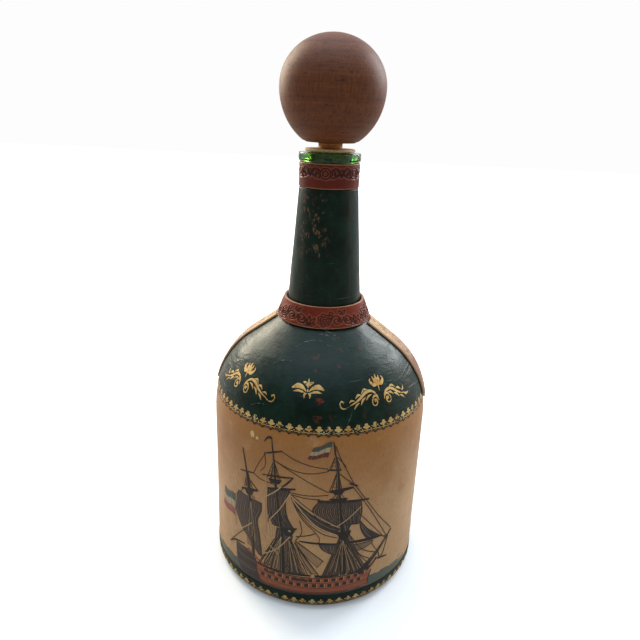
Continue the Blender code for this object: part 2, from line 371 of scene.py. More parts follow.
@dataclass(frozen=True)
class BottleForm:
    """Sizes of the covered bottle: what the frame's boxes give, and the curves between them."""

    heel_radius: float = 0.0040
    body_height: float = 0.0895
    shoulder_radius: float = 0.0455
    shoulder_turn: float = math.radians(53.0)
    neck_taper: float = math.radians(4.4)
    neck_fillet: float = 0.0050
    collar_lean: float = math.radians(21.0)
    gap: float = 0.0003
    leather: float = 0.0012
    strap_leather: float = 0.0008
    arc_steps: int = 60

    @property
    def glass_radius(self) -> float:
        """Outer radius of the glass body."""
        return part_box("glass_bottle")[1].x

    @property
    def glass_bottom(self) -> float:
        """Height of the glass heel's lowest ring."""
        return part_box("glass_bottle")[0].z

    @property
    def neck_foot(self) -> float:
        """Height where the shoulder's cone meets the neck's cone."""
        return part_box("shoulder_cover_front")[1].z + self.gap

    @property
    def finish_start(self) -> float:
        """Height where the leather sleeve ends below the lip."""
        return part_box("neck_sleeve")[1].z

    @property
    def cover_out(self) -> float:
        """Distance from the glass to the outer face of the leather."""
        return self.gap + self.leather

    @property
    def panel_out(self) -> float:
        """Distance from the glass to the face of the picture panel."""
        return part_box("picture_panel_front")[1].x - self.glass_radius

    @property
    def strap_out(self) -> float:
        """Distance from the glass to the outer face of the side straps."""
        return self.cover_out + self.gap + self.strap_leather

    def neck_foot_radius(self) -> float:
        """Radius of the glass where its two cones would meet."""
        end = arc(self.shoulder_centre(), self.shoulder_radius, 0.0, self.shoulder_turn, 1)[1]
        return float(end[0] - (self.neck_foot - end[1]) * math.tan(self.shoulder_turn))

    def shoulder_centre(self) -> tuple[float, float]:
        """Centre (r, z) of the shoulder's round."""
        return (self.glass_radius - self.shoulder_radius, self.body_height)

    def fillet_centre(self) -> tuple[float, float]:
        """Centre of the hollow between the cones: one fillet radius outside both.

        Returns:
            The centre (r, z).
        """
        ax, ay = math.cos(self.shoulder_turn), math.sin(self.shoulder_turn)
        bx, by = math.cos(self.neck_taper), math.sin(self.neck_taper)
        foot = self.neck_foot_radius()
        a = foot * ax + self.neck_foot * ay + self.neck_fillet
        b = foot * bx + self.neck_foot * by + self.neck_fillet
        scale = ax * by - ay * bx
        return ((a * by - ay * b) / scale, (ax * b - a * bx) / scale)

    def neck_radius(self, height: float, out: float) -> float:
        """Radius of the neck's cone at a height, moved out from the glass."""
        drop = (height - self.neck_foot) * math.tan(self.neck_taper)
        return self.neck_foot_radius() - drop + out / math.cos(self.neck_taper)

    def points(self, out: float) -> Array:
        """Rising outline from the heel's lowest ring to the sleeve's end, moved out from the glass.

        Args:
            out: Distance outwards from the glass.

        Returns:
            (r, z) rows: the heel's round, the shoulder's round, the hollow, the neck.
        """
        heel = (self.glass_radius - self.heel_radius, self.glass_bottom + self.heel_radius)
        hollow = arc(
            self.fillet_centre(),
            self.neck_fillet - out,
            self.shoulder_turn + math.pi,
            self.neck_taper + math.pi,
            self.arc_steps // 4,
        )
        return np.concatenate(
            [
                arc(heel, self.heel_radius + out, -QUARTER, 0.0, self.arc_steps // 4),
                arc(
                    self.shoulder_centre(),
                    self.shoulder_radius + out,
                    0.0,
                    self.shoulder_turn,
                    self.arc_steps,
                ),
                hollow,
                [(self.neck_radius(self.finish_start, out), self.finish_start)],
            ]
        )

    def outline(self, out: float, unevenness: float = 0.0) -> Outline:
        """The outline at a distance from the glass."""
        return Outline.through(self.points(out), unevenness)


# Flat drawings laid on a surface

@dataclass
class Inlay:
    """Thin closed shapes laid on a surface from a flat drawing, and gathered into one piece.

    Shapes of a higher level cover those of a lower one, and within a level the latest few
    lie a hair higher than those before them.
    """

    place: Place
    thickness: float = 0.04
    sink: float = 0.05
    rise: float = 0.012
    step: float = 0.0008
    cycle: int = 12
    level: int = 0
    solids: list[Solid] = field(default_factory=list)

    def patch(
        self, left: Array, right: Array, tint: Enum, cover: Shares = 1.0, columns: int = 2, crown: float = 0.0
    ) -> None:
        """Lay a shape between two edges: points run straight from one edge to the other.

        Args:
            left: First edge, flat points.
            right: Second edge, as many points.
            tint: Its ink.
            cover: How fully it covers, one share or several along the edges.
            columns: Points across.
            crown: Extra height in the middle, in millimetres.
        """
        across = np.linspace(0, 1, columns)
        flat = left[:, None, :] + (right - left)[:, None, :] * across[None, :, None]
        level = self.rise * self.level + self.step * (len(self.solids) % self.cycle)
        lift = self.thickness + level + crown * 4 * across * (1 - across)
        outer = self.place(flat, np.broadcast_to(lift, flat.shape[:2]) * MM)
        inner = self.place(flat, np.full(flat.shape[:2], -self.sink * MM))
        marks = {
            "tint": np.broadcast_to(np.asarray(tint.value, float), (*flat.shape[:2], 4)),
            "cover": np.broadcast_to(even_values(cover, len(left))[:, None], flat.shape[:2]),
        }
        self.solids.append(slab(outer, inner, marks))

    def stroke(
        self,
        points: Points,
        width: Shares,
        tint: Enum,
        cover: Shares = 1.0,
        spacing: float = 1.2,
        crown: float = 0.0,
    ) -> None:
        """Lay a line of changing width along a smooth curve: its edges lie half a width aside.

        Args:
            points: Points that the line passes through.
            width: One width, or several evenly spaced along the line.
            tint: Its ink.
            cover: How fully it covers, one share or several along it.
            spacing: Longest step along the line.
            crown: Extra height along its middle.
        """
        curve = spline(points, spacing)
        curve = resampled(curve, len(curve))
        along = np.gradient(curve, axis=0)
        along /= np.maximum(np.linalg.norm(along, axis=1, keepdims=True), 1e-9)
        aside = np.stack([-along[:, 1], along[:, 0]], axis=1)
        half = aside * even_values(width, len(curve))[:, None] / 2
        self.patch(curve - half, curve + half, tint, cover, 3 if crown else 2, crown)

    def area(
        self, left: Points, right: Points, tint: Enum, cover: Shares = 1.0, spacing: float = 1.0
    ) -> tuple[Array, Array]:
        """Lay a filled shape between two smooth edges.

        Args:
            left: Points of the first edge.
            right: Points of the second edge.
            tint: Its ink.
            cover: How fully it covers.
            spacing: Longest step.

        Returns:
            The two edges' points.
        """
        first, second = spline(left, spacing), spline(right, spacing)
        count = max(len(first), len(second))
        first, second = resampled(first, count), resampled(second, count)
        widest = float(np.linalg.norm(second - first, axis=1).max())
        self.patch(first, second, tint, cover, max(2, math.ceil(widest / spacing) + 1))
        return first, second

    def made(self, name: str, material: Material, slot: str) -> bpy.types.Object:
        """Make all the shapes one piece on the bottle's body.

        Args:
            name: The piece's name.
            material: Its finish.
            slot: The record's material slot.

        Returns:
            The new object.
        """
        piece = Solid.joined(self.solids).made(name, material, "bottle", slot)
        self.solids = []
        return piece


# Shader building

class Shader:
    """Adds and links the nodes of one material or node group."""

    def __init__(self, tree: bpy.types.NodeTree) -> None:
        """Keep the tree that the nodes go in."""
        self.tree = tree

    def add(self, kind: str, inputs: dict[Any, Any] | None = None, **settings: Any) -> bpy.types.Node:
        """Add a node.

        Args:
            kind: The node's type name.
            inputs: Values or sockets for its inputs, by name or number.
            **settings: The node's own properties.

        Returns:
            The node.
        """
        node = self.tree.nodes.new(kind)
        for key, value in settings.items():
            setattr(node, key, value)
        self.feed(node, inputs or {})
        return node

    def feed(self, node: bpy.types.Node, inputs: dict[Any, Any]) -> None:
        """Set or link a node's inputs.

        Args:
            node: The node.
            inputs: Values or sockets by number or by name, whose underscores stand for spaces.
        """
        for key, value in inputs.items():
            socket = node.inputs[key.replace("_", " ") if isinstance(key, str) else key]
            if isinstance(value, bpy.types.NodeSocket):
                self.tree.links.new(value, socket)
            else:
                socket.default_value = value

    def coordinates(self) -> Any:
        """Object coordinates."""
        return self.add("ShaderNodeTexCoord").outputs["Object"]

    def mark(self, name: str, output: str = "Fac") -> Any:
        """One of the mesh's own attributes."""
        node = self.add("ShaderNodeAttribute", attribute_name=name, attribute_type="GEOMETRY")
        return node.outputs[output]

    def mapped(self, vector: Any, scale: Sequence[float], turn: Sequence[float] = (0, 0, 0)) -> Any:
        """Coordinates turned and scaled."""
        inputs = {"Vector": vector, "Scale": scale, "Rotation": turn}
        return self.add("ShaderNodeMapping", inputs).outputs[0]

    def noise(self, vector: Any, scale: Any, detail: float = 4, rough: float = 0.5, warp: float = 0) -> Any:
        """Noise value, 0 to 1.

        Args:
            vector: Where it is read.
            scale: Its fineness.
            detail: Finer layers on top.
            rough: Strength of the finer layers.
            warp: How far it is bent.

        Returns:
            The value's socket.
        """
        inputs = {
            "Vector": vector, "Scale": scale, "Detail": detail, "Roughness": rough, "Distortion": warp,
        }
        return self.add("ShaderNodeTexNoise", inputs).outputs["Fac"]

    def cells(self, vector: Any, scale: Any, feature: str = "F1") -> Any:
        """Distance to the nearest cell point, or to the cell's edge."""
        node = self.add("ShaderNodeTexVoronoi", {"Vector": vector, "Scale": scale}, feature=feature)
        return node.outputs["Distance"]

    def spread(self, value: Any, low: Any, high: Any, start: Any = 0.0, end: Any = 1.0) -> Any:
        """The value between low and high spread smoothly from start to end.

        Args:
            value: The value.
            low: Where the spread starts.
            high: Where it ends.
            start: Result at and past low.
            end: Result at and past high.

        Returns:
            The result's socket.
        """
        inputs = {"Value": value, "From Min": low, "From Max": high, "To Min": start, "To Max": end}
        node = self.add("ShaderNodeMapRange", inputs, clamp=True, interpolation_type="SMOOTHSTEP")
        return node.outputs["Result"]

    def calc(self, operation: str, first: Any, second: Any = 0.0, clamp: bool = False) -> Any:
        """Arithmetic on two values."""
        node = self.add("ShaderNodeMath", {0: first, 1: second}, operation=operation, use_clamp=clamp)
        return node.outputs[0]

    def times(self, first: Any, second: Any) -> Any:
        """Product of two values."""
        return self.calc("MULTIPLY", first, second)

    def plus(self, first: Any, second: Any) -> Any:
        """Sum of two values."""
        return self.calc("ADD", first, second)

    def minus(self, first: Any, second: Any) -> Any:
        """The first value less the second."""
        return self.calc("SUBTRACT", first, second)

    def mix(self, share: Any, first: Any, second: Any) -> Any:
        """Blend two colours."""
        return self.add("ShaderNodeMix", {0: share, 6: first, 7: second}, data_type="RGBA").outputs[2]

    def bump(self, height: Any, distance: float, strength: float = 1.0, below: Any = None) -> Any:
        """Normal of a bumped surface, the height's full range being distance metres.

        Args:
            height: The height, 0 to 1.
            distance: Metres of the full range.
            strength: Share of the effect.
            below: A normal that is bumped already.

        Returns:
            The normal's socket.
        """
        inputs = {"Height": height, "Distance": distance, "Strength": strength}
        if below is not None:
            inputs["Normal"] = below
        return self.add("ShaderNodeBump", inputs).outputs[0]

    def axis(self, vector: Any, name: str) -> Any:
        """The X, Y or Z of a vector."""
        return self.add("ShaderNodeSeparateXYZ", {0: vector}).outputs[name]


class Effects(Enum):
    """Shader effects that several finishes share, each a node group built once."""

    GRAIN = "leather_grain"
    WEAR = "surface_wear"
    PAPER = "varnished_paper"
    WOOD = "turned_wood"

    def used(self, shader: Shader, **values: Any) -> Any:
        """Place the effect in a material.

        Args:
            shader: The material's shader.
            **values: Values or sockets for its inputs, spaces written as underscores.

        Returns:
            The effect's outputs, taken by name.
        """
        tree = bpy.data.node_groups.get(self.value) or EFFECT_MAKERS[self]()
        node = shader.add("ShaderNodeGroup", node_tree=tree)
        shader.feed(node, values)
        return node.outputs


class GroupMaker(Shader):
    """A shader group in the making, with its inputs and outputs."""

    def __init__(self, name: str, inputs: dict[str, Any], outputs: dict[str, str]) -> None:
        """Make the group's sockets.

        Args:
            name: The group's name.
            inputs: Default values by name; None is a vector, four numbers are a colour.
            outputs: Kind of socket by name, "Float" or "Color".
        """
        tree = bpy.data.node_groups.new(name, "ShaderNodeTree")
        super().__init__(tree)
        for label, value in inputs.items():
            kind = "Vector" if value is None else "Color" if isinstance(value, tuple) else "Float"
            socket = tree.interface.new_socket(
                name=label, in_out="INPUT", socket_type=f"NodeSocket{kind}"
            )
            if value is not None:
                socket.default_value = value
        for label, kind in outputs.items():
            tree.interface.new_socket(name=label, in_out="OUTPUT", socket_type=f"NodeSocket{kind}")
        self.given = tree.nodes.new("NodeGroupInput").outputs
        self.ends = tree.nodes.new("NodeGroupOutput").inputs

    def put(self, label: str, socket: Any) -> None:
        """Send a socket to one of the group's outputs."""
        self.tree.links.new(socket, self.ends[label])


def leather_grain() -> bpy.types.NodeTree:
    """Pebbled hide: rounded cells, finer pores between them and slow creases.

    Returns:
        The group.
    """
    make = GroupMaker(
        "leather_grain", {"Vector": None, "Scale": 900.0, "Crease": 0.4},
        {"Height": "Float", "Pores": "Float"},
    )
    place, scale = make.given["Vector"], make.given["Scale"]
    warped = make.noise(place, make.times(scale, 0.35), 2)
    pebble = make.cells(place, scale, "SMOOTH_F1")
    pores = make.spread(make.noise(place, make.times(scale, 2.3), 2), 0.58, 0.70)
    crease = make.noise(place, make.times(scale, 0.12), 5, 0.6, 0.8)
    height = make.times(pebble, make.spread(warped, 0.3, 0.7, 0.25, 1.0))
    height = make.minus(make.times(crease, make.given["Crease"]), height)
    make.put("Height", make.minus(height, make.times(pores, 0.25)))
    make.put("Pores", pores)
    return make.tree


def surface_wear() -> bpy.types.NodeTree:
    """Rubbed places, long fine scratches and a slow mottle, as masks.

    Returns:
        The group.
    """
    make = GroupMaker(
        "surface_wear", {"Vector": None, "Edge": 0.0, "Rub": 0.5, "Scratch": 0.5},
        {"Rubbed": "Float", "Scratches": "Float", "Mottle": "Float"},
    )
    place = make.given["Vector"]
    broken = make.noise(place, 420.0, 6, 0.65)
    patch = make.noise(place, 70.0, 3, 0.5, 0.5)
    rubbed = make.plus(make.times(broken, 0.5), make.times(patch, 0.5))
    rubbed = make.plus(rubbed, make.times(make.given["Edge"], 0.35))
    limit = make.minus(0.82, make.times(make.given["Rub"], 0.22))
    make.put("Rubbed", make.spread(rubbed, limit, make.plus(limit, 0.05)))
    lines = []
    for turn, stretch in ((0.5, (40, 40, 900)), (-0.7, (55, 55, 1200)), (1.2, (30, 30, 1500))):
        across = make.mapped(place, stretch, (turn, turn * 0.6, turn * 0.3))
        lines.append(make.spread(make.noise(across, 1.0, 2, 0.5, 0.3), 0.70, 0.76))
    sparse = make.spread(make.noise(place, 38.0, 2), 0.52, 0.66)
    drawn = make.calc("MAXIMUM", lines[0], make.calc("MAXIMUM", lines[1], lines[2]))
    drawn = make.calc("MULTIPLY", make.times(drawn, sparse), make.given["Scratch"], True)
    make.put("Scratches", drawn)
    make.put("Mottle", make.noise(place, 130.0, 6, 0.6, 0.4))
    return make.tree


def varnished_paper() -> bpy.types.NodeTree:
    """Aged print under varnish: warmer and darker towards its top, fibres, foxing and crackle.

    Returns:
        The group.
    """
    make = GroupMaker(
        "varnished_paper",
        {
            "Vector": None,
            "Lower": srgb(204, 158, 110),
            "Upper": srgb(172, 112, 48),
        },
        {"Color": "Color", "Height": "Float", "Roughness": "Float"},
    )
    place = make.given["Vector"]
    height = make.axis(place, "Z")
    cloud = make.noise(place, 32.0, 5, 0.6, 0.6)
    rise = make.plus(height, make.times(make.minus(cloud, 0.5), 0.05))
    colour = make.mix(make.spread(rise, 0.035, 0.098), make.given["Lower"], make.given["Upper"])
    fibre = make.noise(make.mapped(place, (1500, 1500, 420)), 1.0, 4, 0.6)
    colour = make.mix(make.spread(fibre, 0.45, 0.75, 0, 0.34), colour, srgb(122, 78, 42))
    blotch = make.noise(place, 110.0, 5, 0.6)
    colour = make.mix(make.spread(blotch, 0.55, 0.75, 0, 0.30), colour, srgb(128, 78, 44))
    colour = make.mix(make.spread(blotch, 0.42, 0.25, 0, 0.25), colour, srgb(222, 184, 138))
    specks = make.spread(make.cells(place, 420.0), 0.10, 0.04)
    specks = make.times(specks, make.spread(make.noise(place, 60.0, 2), 0.5, 0.6, 0, 0.55))
    colour = make.mix(specks, colour, srgb(60, 36, 18))
    make.put("Color", colour)
    crackle = make.spread(make.cells(place, 260.0, "DISTANCE_TO_EDGE"), 0.03, 0.0, 0.0, 0.5)
    fine = make.noise(place, 1400.0, 3, 0.6)
    make.put("Height", make.minus(make.times(fine, 0.5), crackle))
    make.put("Roughness", make.spread(make.noise(place, 90.0, 4), 0.3, 0.7, 0.32, 0.46))
    return make.tree


def turned_wood() -> bpy.types.NodeTree:
    """Polished wood with level growth bands, fibres along X and short dark pores.

    Returns:
        The group.
    """
    make = GroupMaker(
        "turned_wood",
        {"Vector": None, "Light": srgb(120, 74, 44), "Dark": srgb(62, 34, 22), "Bands": 260.0},
        {"Color": "Color", "Height": "Float", "Pores": "Float"},
    )
    place = make.given["Vector"]
    drift = make.times(make.noise(place, 26.0, 3), 1.1)
    level = make.times(make.axis(place, "Z"), make.given["Bands"])
    bands = make.noise(make.add("ShaderNodeCombineXYZ", {0: drift, 2: level}).outputs[0], 1.0, 5, 0.6)
    fibre = make.noise(make.mapped(place, (130, 420, 2400)), 1.0, 3, 0.6)
    flecks = make.noise(make.mapped(place, (260, 900, 1300)), 1.0, 2, 0.5)
    pores = make.spread(flecks, 0.62, 0.72)
    tone = make.plus(make.times(bands, 0.6), make.times(fibre, 0.4))
    colour = make.mix(make.spread(tone, 0.1, 0.9), make.given["Dark"], make.given["Light"])
    ray = make.spread(make.noise(make.mapped(place, (1500, 1500, 160)), 1.0, 3), 0.42, 0.72, 0, 0.6)
    colour = make.mix(ray, colour, make.given["Dark"])
    make.put("Color", make.mix(make.times(pores, 0.6), colour, srgb(30, 16, 10)))
    make.put("Height", make.minus(make.times(fibre, 0.5), pores))
    make.put("Pores", pores)
    return make.tree


EFFECT_MAKERS = {
    Effects.GRAIN: leather_grain,
    Effects.WEAR: surface_wear,
    Effects.PAPER: varnished_paper,
    Effects.WOOD: turned_wood,
}


# Finishes

@dataclass(frozen=True)
class Finish:
    """A named finish: one material with its Principled shader."""

    name: str

    def material(self) -> Material:
        """Make the material, its finish laid out on Object coordinates.

        Returns:
            The material.
        """
        material = bpy.data.materials.new(self.name)
        material.use_nodes = True
        shader = Shader(material.node_tree)
        look = self.laid_out(shader, shader.coordinates())
        shader.feed(material.node_tree.nodes["Principled BSDF"], look)
        return material

    def laid_out(self, shader: Shader, place: Any) -> dict[str, Any]:
        """Lay out the finish."""
        raise NotImplementedError


@dataclass(frozen=True)
class GreenLeather(Finish):
    """Dark green painted hide under lacquer, rubbed to red-brown hide where it flakes."""

    base: tuple = srgb(4, 25, 15)
    cloudy: tuple = srgb(11, 42, 29)
    hide: tuple = srgb(112, 50, 30)
    rub: float = 0.35
    flaked: bool = False
    marked: bool = False

    def laid_out(self, shader: Shader, place: Any) -> dict[str, Any]:
        """Lay out the finish.

        Args:
            shader: Where its nodes go.
            place: Object coordinates.

        Returns:
            Values and sockets for the Principled shader.
        """
        wear = Effects.WEAR.used(shader, Vector=place, Edge=0.0, Rub=self.rub, Scratch=0.5)
        grain = Effects.GRAIN.used(shader, Vector=place, Scale=900.0, Crease=2.6)
        colour = shader.mix(shader.spread(wear["Mottle"], 0.35, 0.75), self.base, self.cloudy)
        stain = shader.spread(shader.noise(shader.mapped(place, (1, 1, 0.45)), 150.0, 4, 0.6), 0.62, 0.78)
        colour = shader.mix(shader.times(stain, 0.55), colour, self.hide)
        colour = shader.mix(wear["Rubbed"], colour, self.hide)
        if self.flaked:
            colour = self.flakes(shader, place, colour)
        if self.marked:
            broken = shader.spread(shader.noise(place, 800.0, 4, 0.65), 0.42, 0.56)
            cover = shader.times(shader.mark("cover"), broken)
            colour = shader.mix(cover, colour, shader.mark("tint", "Color"))
        colour = shader.mix(shader.times(wear["Scratches"], 0.6), colour, srgb(150, 160, 150))
        roughness = shader.spread(wear["Mottle"], 0.3, 0.7, 0.28, 0.46)
        height = shader.minus(grain["Height"], wear["Scratches"])
        folds = shader.noise(shader.mapped(place, (70, 70, 340), (0.0, 0.12, 0.0)), 1.0, 3, 0.55, 0.9)
        aside = shader.calc("ABSOLUTE", shader.axis(place, "X"))
        aside = shader.spread(aside, 0.016, 0.048, 0.12, 1.0)
        below = shader.bump(shader.times(shader.spread(folds, 0.45, 0.75), aside), 0.0006, 0.42)
        normal = shader.bump(height, 0.00010, 0.6, below)
        return dict(
            Base_Color=colour, Roughness=roughness, Normal=normal,
            Coat_Weight=0.05, Coat_Roughness=0.2, Specular_IOR_Level=0.22,
        )

    @staticmethod
    def flakes(shader: Shader, place: Any, colour: Any) -> Any:
        """Wear on the front of the neck: a red run below the band and a tan scraped patch.

        Args:
            shader: The material's shader.
            place: Object coordinates.
            colour: The painted colour below.

        Returns:
            The worn colour.
        """
        across, height = shader.axis(place, "X"), shader.axis(place, "Z")
        front = shader.spread(shader.axis(place, "Y"), -0.006, -0.011)
        speckle = shader.noise(shader.mapped(place, (1.4, 1.4, 0.42), (0.35, 0.2, 0.0)), 1100.0, 6, 0.75)
        patchy = shader.spread(shader.noise(place, 260.0, 3, 0.6), 0.40, 0.58)
        for (left, right), (low, high), limit, tint in (
            ((-0.0150, 0.0030), (0.184, 0.210), 0.40, srgb(88, 36, 30)),
            ((-0.0210, 0.0120), (0.164, 0.204), 0.45, srgb(66, 50, 36)),
            ((-0.0200, 0.0110), (0.168, 0.202), 0.50, srgb(104, 76, 54)),
            ((-0.0190, 0.0090), (0.166, 0.198), 0.55, srgb(122, 100, 76)),
        ):
            middle, half = (left + right) / 2, (right - left) / 2
            aside = shader.calc("ABSOLUTE", shader.minus(across, middle))
            inside = shader.times(shader.spread(aside, half, half * 0.3), patchy)
            inside = shader.times(inside, shader.spread(height, low, low + 0.006))
            inside = shader.times(inside, shader.spread(height, high, high - 0.005))
            inside = shader.times(inside, front)
            reach = shader.minus(1.0, shader.times(inside, 1.0 - limit))
            torn = shader.spread(speckle, reach, shader.plus(reach, 0.04))
            colour = shader.mix(shader.times(torn, 0.8), colour, tint)
        runs = shader.noise(shader.mapped(place, (260, 260, 14)), 1.0, 3, 0.6)
        return shader.mix(shader.spread(runs, 0.50, 0.72, 0, 0.5), colour, srgb(56, 40, 28))


@dataclass(frozen=True)
class TooledLeather(Finish):
    """Red-brown hide with tooled lines: dark in the grooves, rubbed paler in patches, with a painted
    highlight on the ridges beside the grooves.
    """

    high: tuple = srgb(130, 46, 24)
    low: tuple = srgb(38, 14, 10)
    pale: tuple = srgb(180, 112, 78)
    cut: tuple = srgb(196, 152, 112)
    lower_colour: tuple | None = None

    def laid_out(self, shader: Shader, place: Any) -> dict[str, Any]:
        """Lay out the finish.

        Args:
            shader: Where its nodes go.
            place: Object coordinates.

        Returns:
            Values and sockets for the Principled shader.
        """
        groove, edge = shader.mark("groove"), shader.mark("edge")
        wear = Effects.WEAR.used(shader, Vector=place, Edge=edge, Rub=0.55, Scratch=0.3)
        grain = Effects.GRAIN.used(shader, Vector=place, Scale=1300.0, Crease=0.6)
        mottle = wear["Mottle"]
        deep = tuple(0.62 * share for share in self.high[:3]) + (1.0,)
        colour = shader.mix(shader.spread(mottle, 0.3, 0.72), self.high, deep)
        # Darker towards the bottom: below a set height the colour turns to the lower colour.
        if self.lower_colour:
            drift = shader.times(shader.noise(place, 120.0, 4), 0.02)
            level = shader.plus(shader.axis(place, "Z"), drift)
            colour = shader.mix(shader.spread(level, 0.152, 0.124), colour, self.lower_colour)
        colour = shader.mix(shader.times(wear["Rubbed"], 0.3), colour, self.pale)
        # Painted highlight: the ridges beside the grooves are mixed towards the pale colour.
        ridge = shader.mark("ridge")
        colour = shader.mix(shader.times(ridge, 0.28), colour, self.pale)
        colour = shader.mix(shader.spread(groove, 0.1, 0.9, 0, 0.72), colour, self.low)
        colour = shader.mix(shader.spread(edge, 0.6, 1.0, 0, 0.7), colour, self.cut)
        colour = shader.mix(shader.times(grain["Pores"], 0.3), colour, self.low)
        roughness = shader.spread(mottle, 0.3, 0.7, 0.36, 0.52)
        normal = shader.bump(grain["Height"], 0.00006, 0.6)
        return dict(
            Base_Color=colour, Roughness=roughness, Normal=normal,
            Coat_Weight=0.04, Coat_Roughness=0.25, Specular_IOR_Level=0.2,
        )


@dataclass(frozen=True)
class PicturePaper(Finish):
    """The varnished print's bare ground, or with ink laid over it by the mesh's own marks."""

    inked: bool = False

    def laid_out(self, shader: Shader, place: Any) -> dict[str, Any]:
        """Lay out the finish.

        Args:
            shader: Where its nodes go.
            place: Object coordinates.

        Returns:
            Values and sockets for the Principled shader.
        """
        paper = Effects.PAPER.used(shader, Vector=place)
        colour = paper["Color"]
        if self.inked:
            tint, inked = shader.mark("tint", "Color"), shader.mark("cover")
            worn = shader.noise(shader.mapped(place, (1, 1, 0.6)), 900.0, 4, 0.6)
            thin = shader.minus(1.0, inked)
            full = shader.minus(1.0, shader.times(thin, thin))
            cover = shader.times(full, shader.spread(worn, 0.28, 0.46, 0.90, 1.0))
            colour = shader.mix(cover, colour, tint)
        else:
            edge = shader.mark("edge")
            rough_edge = shader.plus(edge, shader.times(shader.noise(place, 500.0), 0.5))
            colour = shader.mix(shader.spread(rough_edge, 0.75, 1.2, 0, 0.7), colour, srgb(66, 38, 22))
        normal = shader.bump(paper["Height"], 0.00003, 0.5)
        return dict(
            Base_Color=colour, Roughness=paper["Roughness"], Normal=normal,
            Coat_Weight=0.1, Coat_Roughness=0.28, Specular_IOR_Level=0.4,
        )


@dataclass(frozen=True)
class GoldPaint(Finish):
    """Pale gold leaf and paint, thin in places so that the green shows through."""

    def laid_out(self, shader: Shader, place: Any) -> dict[str, Any]:
        """Lay out the finish.

        Args:
            shader: Where its nodes go.
            place: Object coordinates.

        Returns:
            Values and sockets for the Principled shader.
        """
        wear = Effects.WEAR.used(shader, Vector=place, Rub=0.4, Scratch=0.6)
        spots = shader.noise(place, 900.0, 5, 0.65)
        thin = shader.minus(1.0, shader.mark("cover"))
        bare = shader.spread(shader.plus(spots, thin), 0.60, 0.68)
        tone = shader.spread(wear["Mottle"], 0.3, 0.7)
        leaf = shader.mix(tone, srgb(200, 144, 68), srgb(232, 196, 126))
        colour = shader.mix(bare, leaf, srgb(40, 48, 32))
        metallic = shader.spread(bare, 0.0, 1.0, 0.35, 0.0)
        roughness = shader.spread(spots, 0.3, 0.7, 0.30, 0.50)
        normal = shader.bump(spots, 0.00004, 0.5)
        return dict(
            Base_Color=colour, Metallic=metallic, Roughness=roughness, Normal=normal,
            Specular_IOR_Level=0.5,
        )


@dataclass(frozen=True)
class Wood(Finish):
    """Turned and polished wood."""

    light: tuple = srgb(148, 84, 44)
    dark: tuple = srgb(80, 42, 26)
    bands: float = 420.0
    polish: float = 0.03

    def laid_out(self, shader: Shader, place: Any) -> dict[str, Any]:
        """Lay out the finish.

        Args:
            shader: Where its nodes go.
            place: Object coordinates.

        Returns:
            Values and sockets for the Principled shader.
        """
        wood = Effects.WOOD.used(shader, Vector=place, Light=self.light, Dark=self.dark, Bands=self.bands)
        wear = Effects.WEAR.used(shader, Vector=place, Rub=0.1, Scratch=0.35)
        patches = shader.spread(wear["Mottle"], 0.4, 0.75, 0, 0.3)
        colour = shader.mix(patches, wood["Color"], self.dark)
        colour = shader.mix(shader.times(wear["Scratches"], 0.4), colour, srgb(176, 132, 92))
        roughness = shader.spread(wood["Pores"], 0.0, 1.0, 0.52, 0.66)
        normal = shader.bump(wood["Height"], 0.00003, 0.3)
        return dict(
            Base_Color=colour, Roughness=roughness, Normal=normal,
            Coat_Weight=self.polish, Coat_Roughness=0.4, Specular_IOR_Level=0.25,
        )


@dataclass(frozen=True)
class Cork(Finish):
    """Natural cork: cream-tan ground, small darker granules and brown lenticels."""

    def laid_out(self, shader: Shader, place: Any) -> dict[str, Any]:
        """Lay out the finish.

        Args:
            shader: Where its nodes go.
            place: Object coordinates.

        Returns:
            Values and sockets for the Principled shader.
        """
        granules = shader.cells(place, 900.0)
        streaks = shader.spread(shader.noise(shader.mapped(place, (500, 500, 1600)), 1.0, 4), 0.58, 0.70)
        colour = shader.mix(shader.spread(granules, 0.1, 0.7), srgb(216, 176, 122), srgb(238, 208, 162))
        colour = shader.mix(
            shader.spread(shader.noise(place, 160.0, 4), 0.4, 0.7, 0, 0.5), colour, srgb(190, 142, 92)
        )
        colour = shader.mix(shader.times(streaks, 0.75), colour, srgb(112, 70, 40))
        height = shader.minus(granules, streaks)
        normal = shader.bump(height, 0.00010, 0.7)
        roughness = shader.spread(granules, 0.0, 0.8, 0.70, 0.92)
        return dict(
            Base_Color=colour, Roughness=roughness, Normal=normal,
            Specular_IOR_Level=0.3,
        )


@dataclass(frozen=True)
class GreenGlass(Finish):
    """Thick green bottle glass with slow waves and small seeds in it."""

    def laid_out(self, shader: Shader, place: Any) -> dict[str, Any]:
        """Lay out the finish.

        Args:
            shader: Where its nodes go.
            place: Object coordinates.

        Returns:
            Values and sockets for the Principled shader.
        """
        waves = shader.noise(shader.mapped(place, (1, 1, 1.6)), 170.0, 2, 0.4, 0.6)
        seeds = shader.spread(shader.cells(place, 520.0), 0.14, 0.05)
        colour = shader.mix(shader.spread(waves, 0.35, 0.65), srgb(64, 140, 66), srgb(156, 196, 84))
        colour = shader.mix(shader.times(seeds, 0.5), colour, srgb(200, 240, 190))
        roughness = shader.spread(shader.noise(place, 300.0, 3), 0.4, 0.8, 0.02, 0.12)
        height = shader.plus(waves, shader.times(seeds, 0.05))
        normal = shader.bump(height, 0.0006, 0.6)
        return dict(
            Base_Color=colour, Roughness=roughness, Normal=normal,
            IOR=1.52, Transmission_Weight=1.0,
        )


